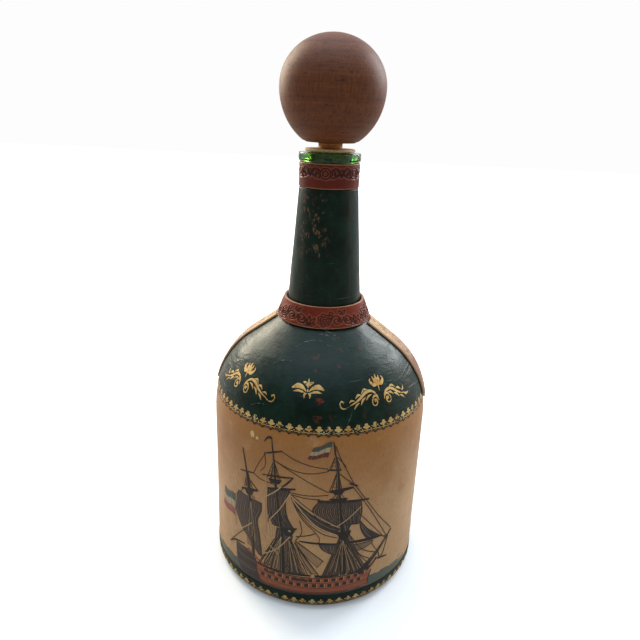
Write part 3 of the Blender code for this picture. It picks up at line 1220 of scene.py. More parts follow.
@dataclass(frozen=True)
class Felt(Finish):
    """Green baize: matted short fibres."""

    def laid_out(self, shader: Shader, place: Any) -> dict[str, Any]:
        """Lay out the finish.

        Args:
            shader: Where its nodes go.
            place: Object coordinates.

        Returns:
            Values and sockets for the Principled shader.
        """
        fibres = shader.noise(place, 1800.0, 5, 0.7, 1.5)
        clumps = shader.noise(place, 240.0, 3)
        colour = shader.mix(shader.spread(fibres, 0.35, 0.7), srgb(20, 44, 30), srgb(48, 84, 58))
        colour = shader.mix(shader.spread(clumps, 0.4, 0.7, 0, 0.4), colour, srgb(26, 50, 36))
        roughness = shader.spread(fibres, 0.3, 0.7, 0.88, 1.0)
        normal = shader.bump(fibres, 0.00015, 0.8)
        return dict(
            Base_Color=colour, Roughness=roughness, Normal=normal,
            Sheen_Weight=0.5, Sheen_Roughness=0.6,
        )


@dataclass(frozen=True)
class Backdrop(Finish):
    """Pale seamless paper that brightens away from the object, as if lit from behind: painted light from an
    emission that only camera rays see, while other rays see it a darker grey.
    """

    bounce: tuple = srgb(168, 164, 158)

    def laid_out(self, shader: Shader, place: Any) -> dict[str, Any]:
        """Lay out the finish.

        Args:
            shader: Where its nodes go.
            place: Object coordinates.

        Returns:
            Values and sockets for the Principled shader.
        """
        mottle = shader.noise(place, 6.0, 3)
        colour = shader.mix(shader.spread(mottle, 0.3, 0.7), srgb(236, 235, 232), srgb(240, 239, 237))
        roughness = shader.spread(mottle, 0.3, 0.7, 0.8, 0.95)
        seen = shader.add("ShaderNodeLightPath").outputs["Is Camera Ray"]
        colour = shader.mix(seen, self.bounce, colour)
        reach = shader.add("ShaderNodeVectorMath", {0: place}, operation="LENGTH").outputs["Value"]
        # Painted light: emission for camera rays only, growing away from the object.
        painted_glow = shader.times(seen, shader.spread(reach, 0.06, 0.9, 0.12, 0.8))
        painted_glow = shader.mix(painted_glow, (0.0, 0.0, 0.0, 1.0), (1.0, 1.0, 1.0, 1.0))
        return dict(
            Base_Color=colour, Roughness=roughness, Emission_Color=painted_glow,
            Specular_IOR_Level=0.2, Emission_Strength=1.0,
        )


# Tooling

def scroll(centre: tuple[float, float], radius: float, start: float, turns: float) -> Array:
    """A spiral that winds in: the radius shrinks evenly to a fifth as the angle goes round.

    Args:
        centre: Its middle.
        radius: Its outer radius.
        start: Angle of its outer end, in degrees.
        turns: How far it winds, negative for clockwise.

    Returns:
        Its points.
    """
    count = max(8, int(abs(turns) * 18))
    share = np.linspace(0, 1, count)
    angle = math.radians(start) + share * turns * TURN
    reach = radius * (1 - 0.8 * share)
    return np.stack([centre[0] + reach * np.cos(angle), centre[1] + reach * np.sin(angle)], axis=1)


def bloom(centre: tuple[float, float], radius: float, petals: int, dent: float = 0.22) -> Array:
    """A flower's closed outline: the radius swells and shrinks once for each petal.

    Args:
        centre: Its middle.
        radius: Its mean radius.
        petals: How many petals.
        dent: How deep the notches are, as a share of the radius.

    Returns:
        Its points, the last one on the first.
    """
    angle = np.linspace(0, TURN, petals * 6 + 1)
    reach = radius * (1 + dent * np.abs(np.cos(petals * angle / 2)) - dent / 2)
    return np.stack([centre[0] + reach * np.cos(angle), centre[1] + reach * np.sin(angle)], axis=1)


def leaf(base: tuple[float, float], tip: tuple[float, float], width: float) -> Array:
    """A leaf's closed outline: two half sine bows between base and tip.

    Args:
        base: Where it grows.
        tip: Its point.
        width: Its greatest width.

    Returns:
        Its points, out along one side and back along the other.
    """
    start, end = np.asarray(base, float), np.asarray(tip, float)
    along = end - start
    aside = np.array([-along[1], along[0]]) / np.linalg.norm(along) * width / 2
    share = np.linspace(0, 1, 7)[:, None]
    bow = np.sin(share * math.pi)
    there = start + along * share + aside * bow
    back = start + along * share - aside * bow
    return np.concatenate([there, back[::-1]])


@dataclass
class Tooling:
    """A motif pressed into leather, repeated along it. Lengths are in millimetres."""

    pitch: float
    width: float
    lines: list[Array]
    depth: float = 0.22
    tool: float = 0.26
    border: float = 0.0

    def press(self, along: Array, across: Array) -> tuple[Array, Array]:
        """Depth of the tooling: each line is a groove whose profile falls off as a bell curve.

        Args:
            along: Positions along the leather.
            across: Positions across it, from 0 to its width.

        Returns:
            The groove's share, 0 to 1, and the ridge's share beside it.
        """
        shape = along.shape
        points = np.stack([np.mod(along.ravel(), self.pitch), across.ravel()], axis=1)
        starts = np.concatenate([line[:-1] for line in self.lines])
        steps = np.concatenate([np.diff(line, axis=0) for line in self.lines])
        sides = [-self.pitch, 0.0, self.pitch]
        starts = np.concatenate([starts + (shift, 0.0) for shift in sides])
        steps = np.tile(steps, (3, 1))
        nearest = np.full(len(points), 1e9)
        square = np.maximum((steps**2).sum(1), 1e-12)
        for first in range(0, len(points), 4096):
            some = points[first : first + 4096, None, :] - starts[None]
            share = np.clip((some * steps[None]).sum(2) / square, 0, 1)
            gap = some - share[..., None] * steps[None]
            nearest[first : first + 4096] = np.sqrt((gap**2).sum(2).min(1))
        if self.border:
            for line in (self.border, self.width - self.border):
                nearest = np.minimum(nearest, np.abs(points[:, 1] - line))
        groove = np.exp(-((nearest / self.tool) ** 2))
        ridge = np.exp(-(((nearest - 2.3 * self.tool) / (1.1 * self.tool)) ** 2))
        return groove.reshape(shape), ridge.reshape(shape)


def band_motif(pitch: float, width: float) -> list[Array]:
    """Ringed loops and two scrolls facing each other, kept to the upper part of the band.

    Args:
        pitch: Length of one repeat.
        width: Width of the band.

    Returns:
        The motif's lines.
    """
    level = width * 0.62
    third = pitch / 3
    size = width * 0.20
    swag = ((size * 1.2, 1.2), (third * 0.6, 1.9), (third, 1.5))
    return [
        bloom((0.0, level), size * 1.05, 6, 0.1),
        bloom((0.0, level), size * 0.55, 5, 0.1),
        scroll((third, level + 0.2), size * 1.25, 215, -1.3),
        scroll((third, level + 0.2), size * 0.85, 200, -1.1),
        scroll((2 * third, level + 0.2), size * 1.25, -35, 1.3),
        scroll((2 * third, level + 0.2), size * 0.85, -20, 1.1),
        spline([(x, level - drop) for x, drop in swag], 0.6),
        spline([(pitch - x, level - drop) for x, drop in swag], 0.6),
        leaf((pitch / 2, level - 1.5), (pitch / 2, level + 2.0), 1.3),
        leaf((pitch / 2, level - 1.2), (pitch / 2 - 1.6, level + 1.3), 0.9),
        leaf((pitch / 2, level - 1.2), (pitch / 2 + 1.6, level + 1.3), 0.9),
    ]


def collar_motif(pitch: float, width: float) -> list[Array]:
    """A shell, two running scrolls, stacked rings and a fan, kept to the collar's lower part.

    Args:
        pitch: Length of one repeat.
        width: Width of the collar.

    Returns:
        The motif's lines.
    """
    level = width * 0.38
    lines = [
        bloom((3.2, level), 2.7, 7, 0.3),
        bloom((3.2, level), 1.7, 7, 0.3),
        bloom((3.2, level), 0.7, 5, 0.3),
        scroll((9.0, level - 0.2), 2.5, 170, -1.6),
        scroll((9.0, level - 0.2), 3.2, 170, -0.6),
        scroll((14.6, level + 0.1), 2.5, 350, -1.6),
        scroll((14.6, level + 0.1), 3.2, 350, -0.6),
        spline([(11.2, level - 1.4), (11.9, level), (12.5, level + 1.4)], 0.5),
        bloom((6.3, width - 3.2), 0.8, 5, 0.1),
        bloom((6.3, width - 4.9), 0.8, 5, 0.1),
        leaf((11.9, level + 2.4), (13.6, width - 1.8), 1.1),
        leaf((11.9, level + 2.4), (10.2, width - 1.8), 1.1),
    ]
    fan = (pitch - 3.9, level - 2.9)
    for turn in (20, 55, 90, 125, 160):
        reach = 4.6 if turn in (55, 90, 125) else 3.2
        tip = (fan[0] + reach * math.cos(math.radians(turn)), fan[1] + reach * math.sin(math.radians(turn)))
        lines.append(leaf(fan, tip, 1.3))
    return lines


def strap_motif(pitch: float, width: float) -> list[Array]:
    """An S of two scrolls with a flower between repeats.

    Args:
        pitch: Length of one repeat.
        width: Width of the strap.

    Returns:
        The motif's lines.
    """
    middle = width / 2
    size = width * 0.20
    bend = size * 0.4
    return [
        scroll((pitch * 0.30, middle + size * 0.9), size, 250, 1.4),
        scroll((pitch * 0.62, middle - size * 0.9), size, 70, 1.4),
        spline([(pitch * 0.22, middle - bend), (pitch * 0.46, middle), (pitch * 0.70, middle + bend)], 0.7),
        leaf((pitch * 0.46, middle + 0.5), (pitch * 0.56, width - 2.1), 1.4),
        leaf((pitch * 0.46, middle - 0.5), (pitch * 0.36, 2.1), 1.4),
        bloom((pitch * 0.92, middle), 1.7, 6, 0.3),
        bloom((pitch * 0.92, middle), 0.7, 5, 0.3),
    ]


# Leather skins

def eased(low: float, high: float, edge: float, steps: int) -> Array:
    """Positions from low to high, close together within an edge's width of both ends."""
    near = edge * np.array([0.0, 0.08, 0.22, 0.42, 0.68])
    return np.concatenate([low + near, np.linspace(low + edge, high - edge, steps + 1), high - near[::-1]])


def rounded(distance: Array, edge: float) -> Array:
    """Drop of a quarter-round edge: nothing past its width, its full width at the very edge."""
    near = np.clip(1 - distance / edge, 0, 1)
    return edge * (1 - np.sqrt(1 - near**2))


@dataclass
class Skin:
    """A leather skin glued on an outline, between two heights and two azimuths."""

    outline: Outline
    low: float
    high: float
    first: float
    last: float
    thickness: float
    rows: int
    columns: int
    edge: float = 0.0004
    soft: float = 0.0022

    def solid(self, tooling: Tooling | None = None) -> Solid:
        """The closed skin: its face drops in a quarter round at its upper and lower edges.

        Args:
            tooling: A motif pressed into its face, running round the bottle.

        Returns:
            The solid, with its edge, groove and ridge marks.
        """
        heights = eased(self.low, self.high, self.edge, self.rows)
        turns = np.linspace(self.first, self.last, self.columns + 1)
        height, azimuth = np.meshgrid(heights, turns, indexing="ij")
        inside = np.minimum(height - self.low, self.high - height)
        drop = np.minimum(rounded(inside, self.edge), self.thickness * 0.7)
        marks = {"edge": np.exp(-((inside / self.soft) ** 2))}
        if tooling is not None:
            middle = float(self.outline.radius_at((self.low + self.high) / 2))
            across = (height - self.low) / (self.high - self.low) * tooling.width
            groove, ridge = tooling.press((azimuth - self.first) * middle / MM, across)
            drop = drop + (groove * tooling.depth - ridge * tooling.depth * 0.3) * MM
            marks |= {"groove": groove, "ridge": ridge}
        outer = self.outline.place(azimuth, height, -drop)
        inner = self.outline.place(azimuth, height, np.full(height.shape, -self.thickness))
        return slab(outer, inner, marks)


@dataclass
class BodyLeather:
    """The green leather: shoulder covers, the band round the foot and the sleeve on the neck."""

    form: BottleForm
    unevenness: float = 0.00011
    seam: float = math.radians(1.0)

    def outline(self) -> Outline:
        """The outer face of the covers."""
        return self.form.outline(self.form.cover_out, self.unevenness)

    def build(self) -> None:
        """Make the covers, the foot band and the sleeve."""
        green = GreenLeather("green_leather").material()
        outline = self.outline()
        low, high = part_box("shoulder_cover_front")[0].z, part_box("shoulder_cover_front")[1].z
        half = QUARTER - math.radians(0.45)
        for end, turn in (("front", 0.0), ("back", math.pi)):
            first, last = turn - half, turn + half
            skin = Skin(outline, low, high, first, last, self.form.leather, rows=56, columns=200)
            name = f"shoulder_cover_{end}"
            skin.solid().made(f"{name}_hide", green, "bottle", "green_leather", [name])
        around = math.pi - self.seam
        low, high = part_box("foot_band")[0].z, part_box("foot_band")[1].z
        foot = Skin(outline, low, high, -around, around, self.form.leather, 18, columns=400, edge=0.0003)
        foot.solid().made("foot_band_hide", green, "bottle", "green_leather", ["foot_band"])
        low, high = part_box("neck_sleeve")[0].z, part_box("neck_sleeve")[1].z
        worn = GreenLeather("neck_leather", rub=0.55, flaked=True).material()
        smooth = self.form.outline(self.form.cover_out, self.unevenness * 0.6)
        sleeve = Skin(smooth, low, high, -around, around, self.form.leather, 90, columns=160, edge=0.0003)
        sleeve.solid().made("neck_sleeve_hide", worn, "bottle", "green_leather", ["neck_sleeve"])


@dataclass
class TooledBands:
    """The red-brown tooled leather: the band below the lip, the collar and the side straps."""

    form: BottleForm
    band_repeats: int = 6
    collar_repeats: int = 6
    strap_repeats: int = 3
    depth: float = 0.3
    seam: float = math.radians(1.0)
    rows: int = 46
    step: float = 0.00022
    edge: float = 0.0004
    least: float = 0.0007
    soft: float = 0.0006

    def build(self) -> None:
        """Make the band, the collar and the two straps."""
        self.lip_band(TooledLeather("band_leather", high=srgb(112, 38, 22)).material())
        self.collar(TooledLeather("tooled_leather").material())
        # The straps' pale tan is partly the hide's own colour and partly painted highlight for the light on
        # their upper ends; they turn darker towards the bottom.
        rubbed = TooledLeather(
            "strap_leather",
            high=srgb(232, 184, 128),
            low=srgb(124, 76, 50),
            pale=srgb(246, 220, 178),
            lower_colour=srgb(134, 74, 58),
        ).material()
        for end, side in (("left", -1), ("right", 1)):
            self.strap(f"side_strap_{end}", side, rubbed)

    def ring(self, name: str, points: Array, motif: Callable, repeats: int, hide: Material) -> None:
        """A tooled band that goes right round and meets itself at the back.

        Args:
            name: The CAD node that it stands for.
            points: Its outer face's two ends, (r, z).
            motif: The function that draws its motif.
            repeats: Repeats of the motif round it.
            hide: Its finish.
        """
        (r0, z0), (r1, z1) = points
        width = math.hypot(r1 - r0, z1 - z0) / MM
        around = math.pi - self.seam
        pitch = 2 * around * (r0 + r1) / 2 / MM / repeats
        outline = Outline.through(np.linspace(points[0], points[1], 24), 0.00006)
        tooling = Tooling(pitch, width, motif(pitch, width), self.depth)
        columns = int(2 * around * max(r0, r1) / self.step)
        skin = Skin(outline, z0, z1, -around, around, self.form.leather, self.rows, columns, soft=self.soft)
        skin.solid(tooling).made(f"{name}_hide", hide, "bottle", "tooled_leather", [name])

    def lip_band(self, hide: Material) -> None:
        """The band below the lip: a plain cylinder.

        Args:
            hide: Its finish.
        """
        low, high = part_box("lip_band")
        ends = np.array([(high.x, low.z), (high.x, high.z)])
        self.ring("lip_band", ends, band_motif, self.band_repeats, hide)

    def collar(self, hide: Material) -> None:
        """The flared collar: a cone whose face leans in towards the neck.

        Args:
            hide: Its finish.
        """
        low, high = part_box("neck_collar")
        start = low.z + self.form.leather * math.sin(self.form.collar_lean)
        top = high.x - (high.z - start) * math.tan(self.form.collar_lean)
        ends = np.array([(high.x, start), (top, high.z)])
        self.ring("neck_collar", ends, collar_motif, self.collar_repeats, hide)

    def strap(self, name: str, side: int, hide: Material) -> None:
        """One side strap: it keeps its width, so its azimuth spreads as the radius shrinks.

        Args:
            name: The CAD node that it stands for.
            side: -1 for the left one, 1 for the right one.
            hide: Its finish.
        """
        low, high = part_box(name)
        outline = self.form.outline(self.form.strap_out, 0.00008)
        width = high.y - low.y
        heights = eased(low.z, high.z, self.edge, 200)
        acrosses = eased(-width / 2, width / 2, self.edge, 40)
        height, across = np.meshgrid(heights, acrosses, indexing="ij")
        radius = outline.radius_at(height)
        azimuth = side * (QUARTER + np.arcsin(across / radius))
        inside = np.minimum(np.minimum(height - low.z, high.z - height), width / 2 - np.abs(across))
        line = np.stack([outline.radius_at(heights), heights], axis=1)
        length = np.concatenate([[0], np.cumsum(np.linalg.norm(np.diff(line, axis=0), axis=1))]) / MM
        pitch = length[-1] / self.strap_repeats
        tooling = Tooling(pitch, width / MM, strap_motif(pitch, width / MM), border=1.1)
        along = np.interp(height, heights, length)
        groove, ridge = tooling.press(along, (across + width / 2) / MM)
        drop = np.minimum(rounded(inside, self.edge), self.least)
        drop = drop + (groove - 0.3 * ridge) * tooling.depth * MM
        marks = {"edge": np.exp(-((inside / self.soft) ** 2)), "groove": groove, "ridge": ridge}
        outer = outline.place(azimuth, height, -drop)
        inner = outline.place(azimuth, height, np.full(height.shape, -self.form.strap_leather))
        slab(outer, inner, marks).made(f"{name}_hide", hide, "bottle", "tooled_leather", [name])


# The printed picture

class Ink(Enum):
    """The print's colours."""

    LINE = srgb(20, 13, 10)
    FAINT = srgb(92, 68, 50)
    SAIL = srgb(46, 38, 36)
    WARM_SAIL = srgb(64, 51, 46)
    THIN_SAIL = srgb(118, 94, 68)
    HATCH = srgb(14, 10, 10)
    GLINT = srgb(118, 96, 76)
    ROPE = srgb(196, 160, 118)
    HULL = srgb(166, 88, 52)
    STRAKE = srgb(170, 72, 48)
    PORT = srgb(44, 26, 24)
    STERN = srgb(66, 50, 52)
    SEA = srgb(82, 94, 82)
    DEEP = srgb(52, 56, 48)
    LEAF = srgb(52, 70, 68)
    CREAM = srgb(176, 156, 118)
    RED = srgb(100, 26, 28)
    ROSE = srgb(156, 70, 66)
    SPOT = srgb(226, 190, 130)


@dataclass(frozen=True)
class Sail:
    """A sail between its left and right edges, given from the top down, with drawn lines on it."""

    left: Points
    right: Points
    ink: Ink
    lines: int
    cover: float = 0.93


SAILS = (
    Sail(
        [(-35.0, 58.6), (-37.2, 53.0), (-37.4, 46.5), (-33.0, 38.5), (-27.5, 33.5), (-21.5, 27.0)],
        [(-20.0, 58.2), (-20.2, 53.0), (-22.4, 47.0), (-21.4, 41.0), (-20.4, 34.0), (-19.6, 26.5)],
        Ink.WARM_SAIL, 12, 0.88,
    ),
    Sail(
        [(-16.4, 68.4), (-16.8, 61.0), (-16.0, 53.0), (-13.4, 48.2)],
        [(-5.2, 70.0), (-7.4, 62.0), (-6.2, 54.0), (-2.6, 47.6)],
        Ink.SAIL, 12,
    ),
    Sail(
        [(-11.5, 47.4), (-12.0, 39.0), (-9.4, 30.0), (-4.4, 21.8)],
        [(-3.6, 44.4), (-4.6, 36.0), (-3.0, 28.0), (2.0, 21.8)],
        Ink.WARM_SAIL, 8,
    ),
    Sail(
        [(8.2, 65.2), (5.4, 60.5), (7.4, 56.0), (13.6, 52.4)],
        [(28.6, 64.0), (29.4, 58.0), (29.0, 54.0), (28.0, 50.6)],
        Ink.SAIL, 26, 0.95,
    ),
    Sail(
        [(-3.8, 64.8), (1.0, 60.8), (7.0, 56.2), (13.0, 52.2), (18.4, 49.6)],
        [(-3.2, 62.6), (1.5, 56.6), (7.0, 51.4), (12.0, 48.2), (17.6, 46.2)],
        Ink.SAIL, 3, 0.9,
    ),
    Sail(
        [(28.4, 52.0), (29.4, 47.0), (31.4, 42.8), (33.4, 39.8)],
        [(28.8, 52.2), (32.0, 47.8), (36.0, 42.9), (41.6, 38.7)],
        Ink.SAIL, 3,
    ),
    Sail(
        [(26.0, 38.4), (31.0, 38.2), (37.0, 37.8)],
        [(28.8, 34.2), (32.0, 34.8), (36.6, 36.4)],
        Ink.THIN_SAIL, 2, 0.8,
    ),
    Sail(
        [(-2.4, 41.8), (4.0, 37.0), (11.4, 30.8)],
        [(-2.4, 41.0), (2.0, 34.6), (8.8, 27.0)],
        Ink.THIN_SAIL, 6, 0.3,
    ),
    Sail(
        [(-3.0, 39.0), (0.4, 31.0), (5.6, 22.8)],
        [(-2.6, 40.4), (3.0, 31.6), (8.8, 23.2)],
        Ink.THIN_SAIL, 5, 0.3,
    ),
    Sail(
        [(8.8, 41.2), (10.4, 38.0), (13.4, 35.6)],
        [(17.8, 41.0), (17.8, 37.0), (17.8, 33.6)],
        Ink.WARM_SAIL, 5, 0.85,
    ),
    Sail(
        [(18.6, 53.2), (20.2, 50.4), (21.0, 47.0)],
        [(24.6, 51.6), (23.4, 49.4), (23.2, 46.6)],
        Ink.SAIL, 3, 0.85,
    ),
)


@dataclass(frozen=True)
class Fan:
    """Lines that spread from one point to a row of feet, with short rungs between them."""

    head: tuple[float, float]
    first: tuple[float, float]
    last: tuple[float, float]
    count: int
    rungs: int = 0
    width: float = 0.34


FANS = (
    Fan((-28.6, 73.0), (-30.6, 63.4), (-25.6, 64.0), 4),
    Fan((-27.2, 60.6), (-31.6, 40.0), (-25.0, 40.0), 5),
    Fan((-13.5, 84.2), (-17.0, 73.8), (-10.2, 74.2), 6, 4, 0.28),
    Fan((-12.6, 70.6), (-16.4, 48.4), (-8.0, 48.0), 5, 0, 0.3),
    Fan((-10.0, 46.0), (-21.4, 22.2), (-12.4, 22.0), 8, 7, 0.36),
    Fan((-5.2, 44.0), (-9.0, 22.0), (4.4, 21.8), 8, 6, 0.36),
    Fan((14.9, 90.2), (12.4, 82.4), (17.6, 82.2), 5, 3, 0.28),
    Fan((16.2, 82.2), (12.8, 70.8), (18.8, 70.8), 6, 4, 0.3),
    Fan((17.4, 70.4), (13.2, 65.6), (21.2, 65.2), 5, 0, 0.3),
    Fan((19.6, 46.0), (11.4, 22.0), (19.0, 21.8), 9, 8, 0.4),
    Fan((21.4, 46.0), (22.4, 21.6), (34.4, 21.2), 11, 8, 0.42),
)

FRONT_FANS = (
    Fan((-9.6, 44.0), (-19.6, 24.6), (-14.6, 22.0), 4, 0, 0.3),
    Fan((-5.0, 43.0), (-6.4, 22.0), (2.4, 21.8), 5, 0, 0.3),
    Fan((20.6, 45.0), (14.0, 22.0), (31.0, 21.6), 9, 0, 0.3),
)

PALE_FANS = (
    Fan((-9.0, 43.0), (-17.6, 24.0), (-11.4, 23.0), 4, 0, 0.22),
    Fan((-5.4, 42.0), (-3.4, 23.0), (2.4, 23.0), 3, 0, 0.22),
    Fan((20.2, 43.0), (14.8, 24.0), (31.0, 23.0), 6, 0, 0.22),
    Fan((-26.4, 57.0), (-28.0, 38.0), (-23.6, 34.0), 3, 0, 0.2),
)

YARDS = (
    ([(-33.4, 71.2), (-24.4, 73.3)], 0.55),
    ([(-32.6, 61.3), (-22.0, 64.3)], 1.3),
    ([(-17.6, 86.8), (-9.4, 89.9)], 0.75),
    ([(-19.6, 74.6), (-3.8, 76.8)], 0.75),
    ([(-4.0, 76.8), (-7.0, 73.0), (-9.8, 70.2)], 0.9),
    ([(-16.8, 68.0), (-2.8, 70.8)], 1.2),
    ([(11.4, 82.4), (18.0, 82.2)], 0.7),
    ([(13.0, 70.5), (24.2, 72.1)], 1.5),
    ([(22.0, 74.4), (26.4, 72.4)], 0.9),
    ([(7.4, 65.7), (32.8, 63.6)], 1.25),
    ([(-0.4, 41.8), (17.6, 40.6)], 0.9),
    ([(23.6, 40.6), (41.8, 38.6)], 1.5),
    ([(-8.6, 47.2), (-1.6, 48.8)], 0.9),
    ([(39.4, 25.2), (47.4, 23.4)], 0.8),
    ([(40.9, 29.2), (42.4, 23.8)], 0.6),
    ([(-43.6, 22.2), (-38.0, 26.6), (-31.0, 28.4)], 0.7),
)

MASTS = (
    (
        [(-31.5, 84.2), (-30.0, 77.0), (-28.9, 70.0), (-27.5, 60.0), (-26.2, 46.0), (-24.8, 24.5)],
        (0.4, 1.0, 1.6, 2.3, 1.8, 1.7),
    ),
    (
        [(-14.9, 95.6), (-14.0, 88.0), (-13.3, 80.0), (-12.7, 72.0), (-11.2, 58.0), (-9.2, 44.0),
         (-8.2, 21.6)],
        (0.3, 0.9, 1.3, 1.8, 1.8, 2.3, 2.5),
    ),
    (
        [(13.9, 95.6), (14.7, 90.5), (16.0, 83.0), (16.9, 74.0), (18.0, 62.0), (19.8, 46.0), (21.6, 21.2)],
        (0.3, 1.4, 1.5, 1.9, 1.9, 3.2, 2.9),
    ),
    (
        [(29.5, 20.2), (36.0, 25.4), (40.5, 29.8), (45.0, 35.0), (49.0, 39.2)],
        (3.4, 2.6, 1.9, 1.3, 0.7),
    ),
)

STAYS = (
    [(-13.4, 84.2), (-6.0, 81.4), (1.0, 80.1), (7.0, 80.5), (12.2, 81.8)],
    [(-9.6, 89.6), (-3.0, 86.4), (4.0, 84.2), (11.6, 83.0)],
    [(-13.0, 84.0), (-3.0, 79.0), (5.0, 74.4), (12.6, 70.2)],
    [(-5.4, 68.6), (3.0, 68.1), (12.4, 68.8)],
    [(-5.0, 67.6), (2.0, 66.6), (8.6, 66.4)],
    [(-5.0, 67.8), (2.0, 62.0), (9.0, 56.8), (18.6, 50.4)],
    [(-4.8, 66.0), (-2.0, 59.4), (1.6, 53.6), (6.2, 48.6), (9.2, 44.2), (8.8, 41.4)],
    [(-4.4, 64.6), (0.4, 56.6), (5.4, 50.8), (11.0, 46.6), (17.6, 44.2)],
    [(-18.4, 87.0), (-18.0, 80.0), (-20.6, 76.0)],
    [(-17.6, 86.8), (-21.6, 80.0), (-24.6, 73.4)],
    [(-24.6, 73.2), (-21.0, 71.6), (-13.0, 71.0)],
    [(-26.4, 68.0), (-24.0, 66.0), (-22.2, 64.4)],
    [(-2.0, 42.2), (0.8, 47.0), (-0.4, 53.6)],
    [(-2.0, 44.2), (3.0, 45.4), (7.0, 46.8)],
    [(-2.2, 41.8), (3.6, 37.4), (11.8, 30.4)],
    [(-2.4, 41.2), (1.2, 32.0), (6.4, 22.6)],
    [(-2.4, 41.0), (3.0, 32.4), (9.4, 22.4)],
    [(17.4, 80.0), (20.4, 77.0), (24.8, 72.9), (30.0, 65.4), (39.0, 52.0), (48.6, 40.0)],
    [(15.6, 89.0), (18.0, 86.4), (20.0, 83.4)],
    [(14.8, 94.6), (17.8, 87.0), (24.6, 73.4)],
    [(24.2, 71.8), (32.0, 60.0), (40.0, 46.6), (45.8, 36.4)],
    [(18.6, 66.0), (27.0, 57.6), (36.0, 46.8), (44.6, 36.0)],
    [(28.8, 51.4), (33.0, 46.4), (41.4, 38.7)],
    [(41.4, 38.7), (44.0, 37.0), (46.4, 36.2)],
    [(23.4, 46.0), (29.0, 33.0), (35.6, 27.0)],
    [(24.0, 44.6), (31.0, 34.6), (40.0, 29.0)],
    [(26.0, 37.6), (30.0, 31.0), (35.0, 24.6)],
    [(36.4, 36.2), (38.8, 32.0), (40.6, 29.8)],
    [(42.4, 23.8), (44.6, 27.6), (47.0, 37.0)],
    [(-37.6, 54.6), (-33.0, 59.2), (-31.8, 61.4)],
    [(-43.4, 22.4), (-36.0, 31.6), (-30.0, 38.0)],
)

ROPES = (
    ([(-9.6, 70.8), (-13.0, 67.0), (-18.4, 62.2)], 0.55),
    ([(-5.2, 68.0), (-10.0, 58.6), (-15.8, 50.0)], 0.5),
    ([(-25.6, 44.2), (-32.4, 37.4), (-40.6, 30.0)], 0.5),
    ([(17.0, 50.8), (22.6, 54.8), (28.6, 60.4)], 0.4),
    ([(-4.8, 43.6), (-11.6, 34.4), (-19.4, 28.4)], 0.5),
    ([(-17.5, 75.0), (-17.9, 58.0), (-17.1, 41.0)], 0.35),
    ([(-16.9, 70.0), (-17.0, 54.0), (-15.4, 40.4)], 0.35),
    ([(-19.8, 41.4), (-15.6, 36.0), (-10.4, 31.6)], 0.45),
    ([(-36.6, 55.8), (-37.8, 47.0), (-38.0, 36.0)], 0.4),
    ([(-4.2, 65.2), (2.0, 57.2), (8.0, 51.0), (17.8, 45.6)], 0.5),
    ([(-4.6, 67.0), (2.2, 61.2), (9.2, 56.0), (18.8, 49.9)], 0.35),
)


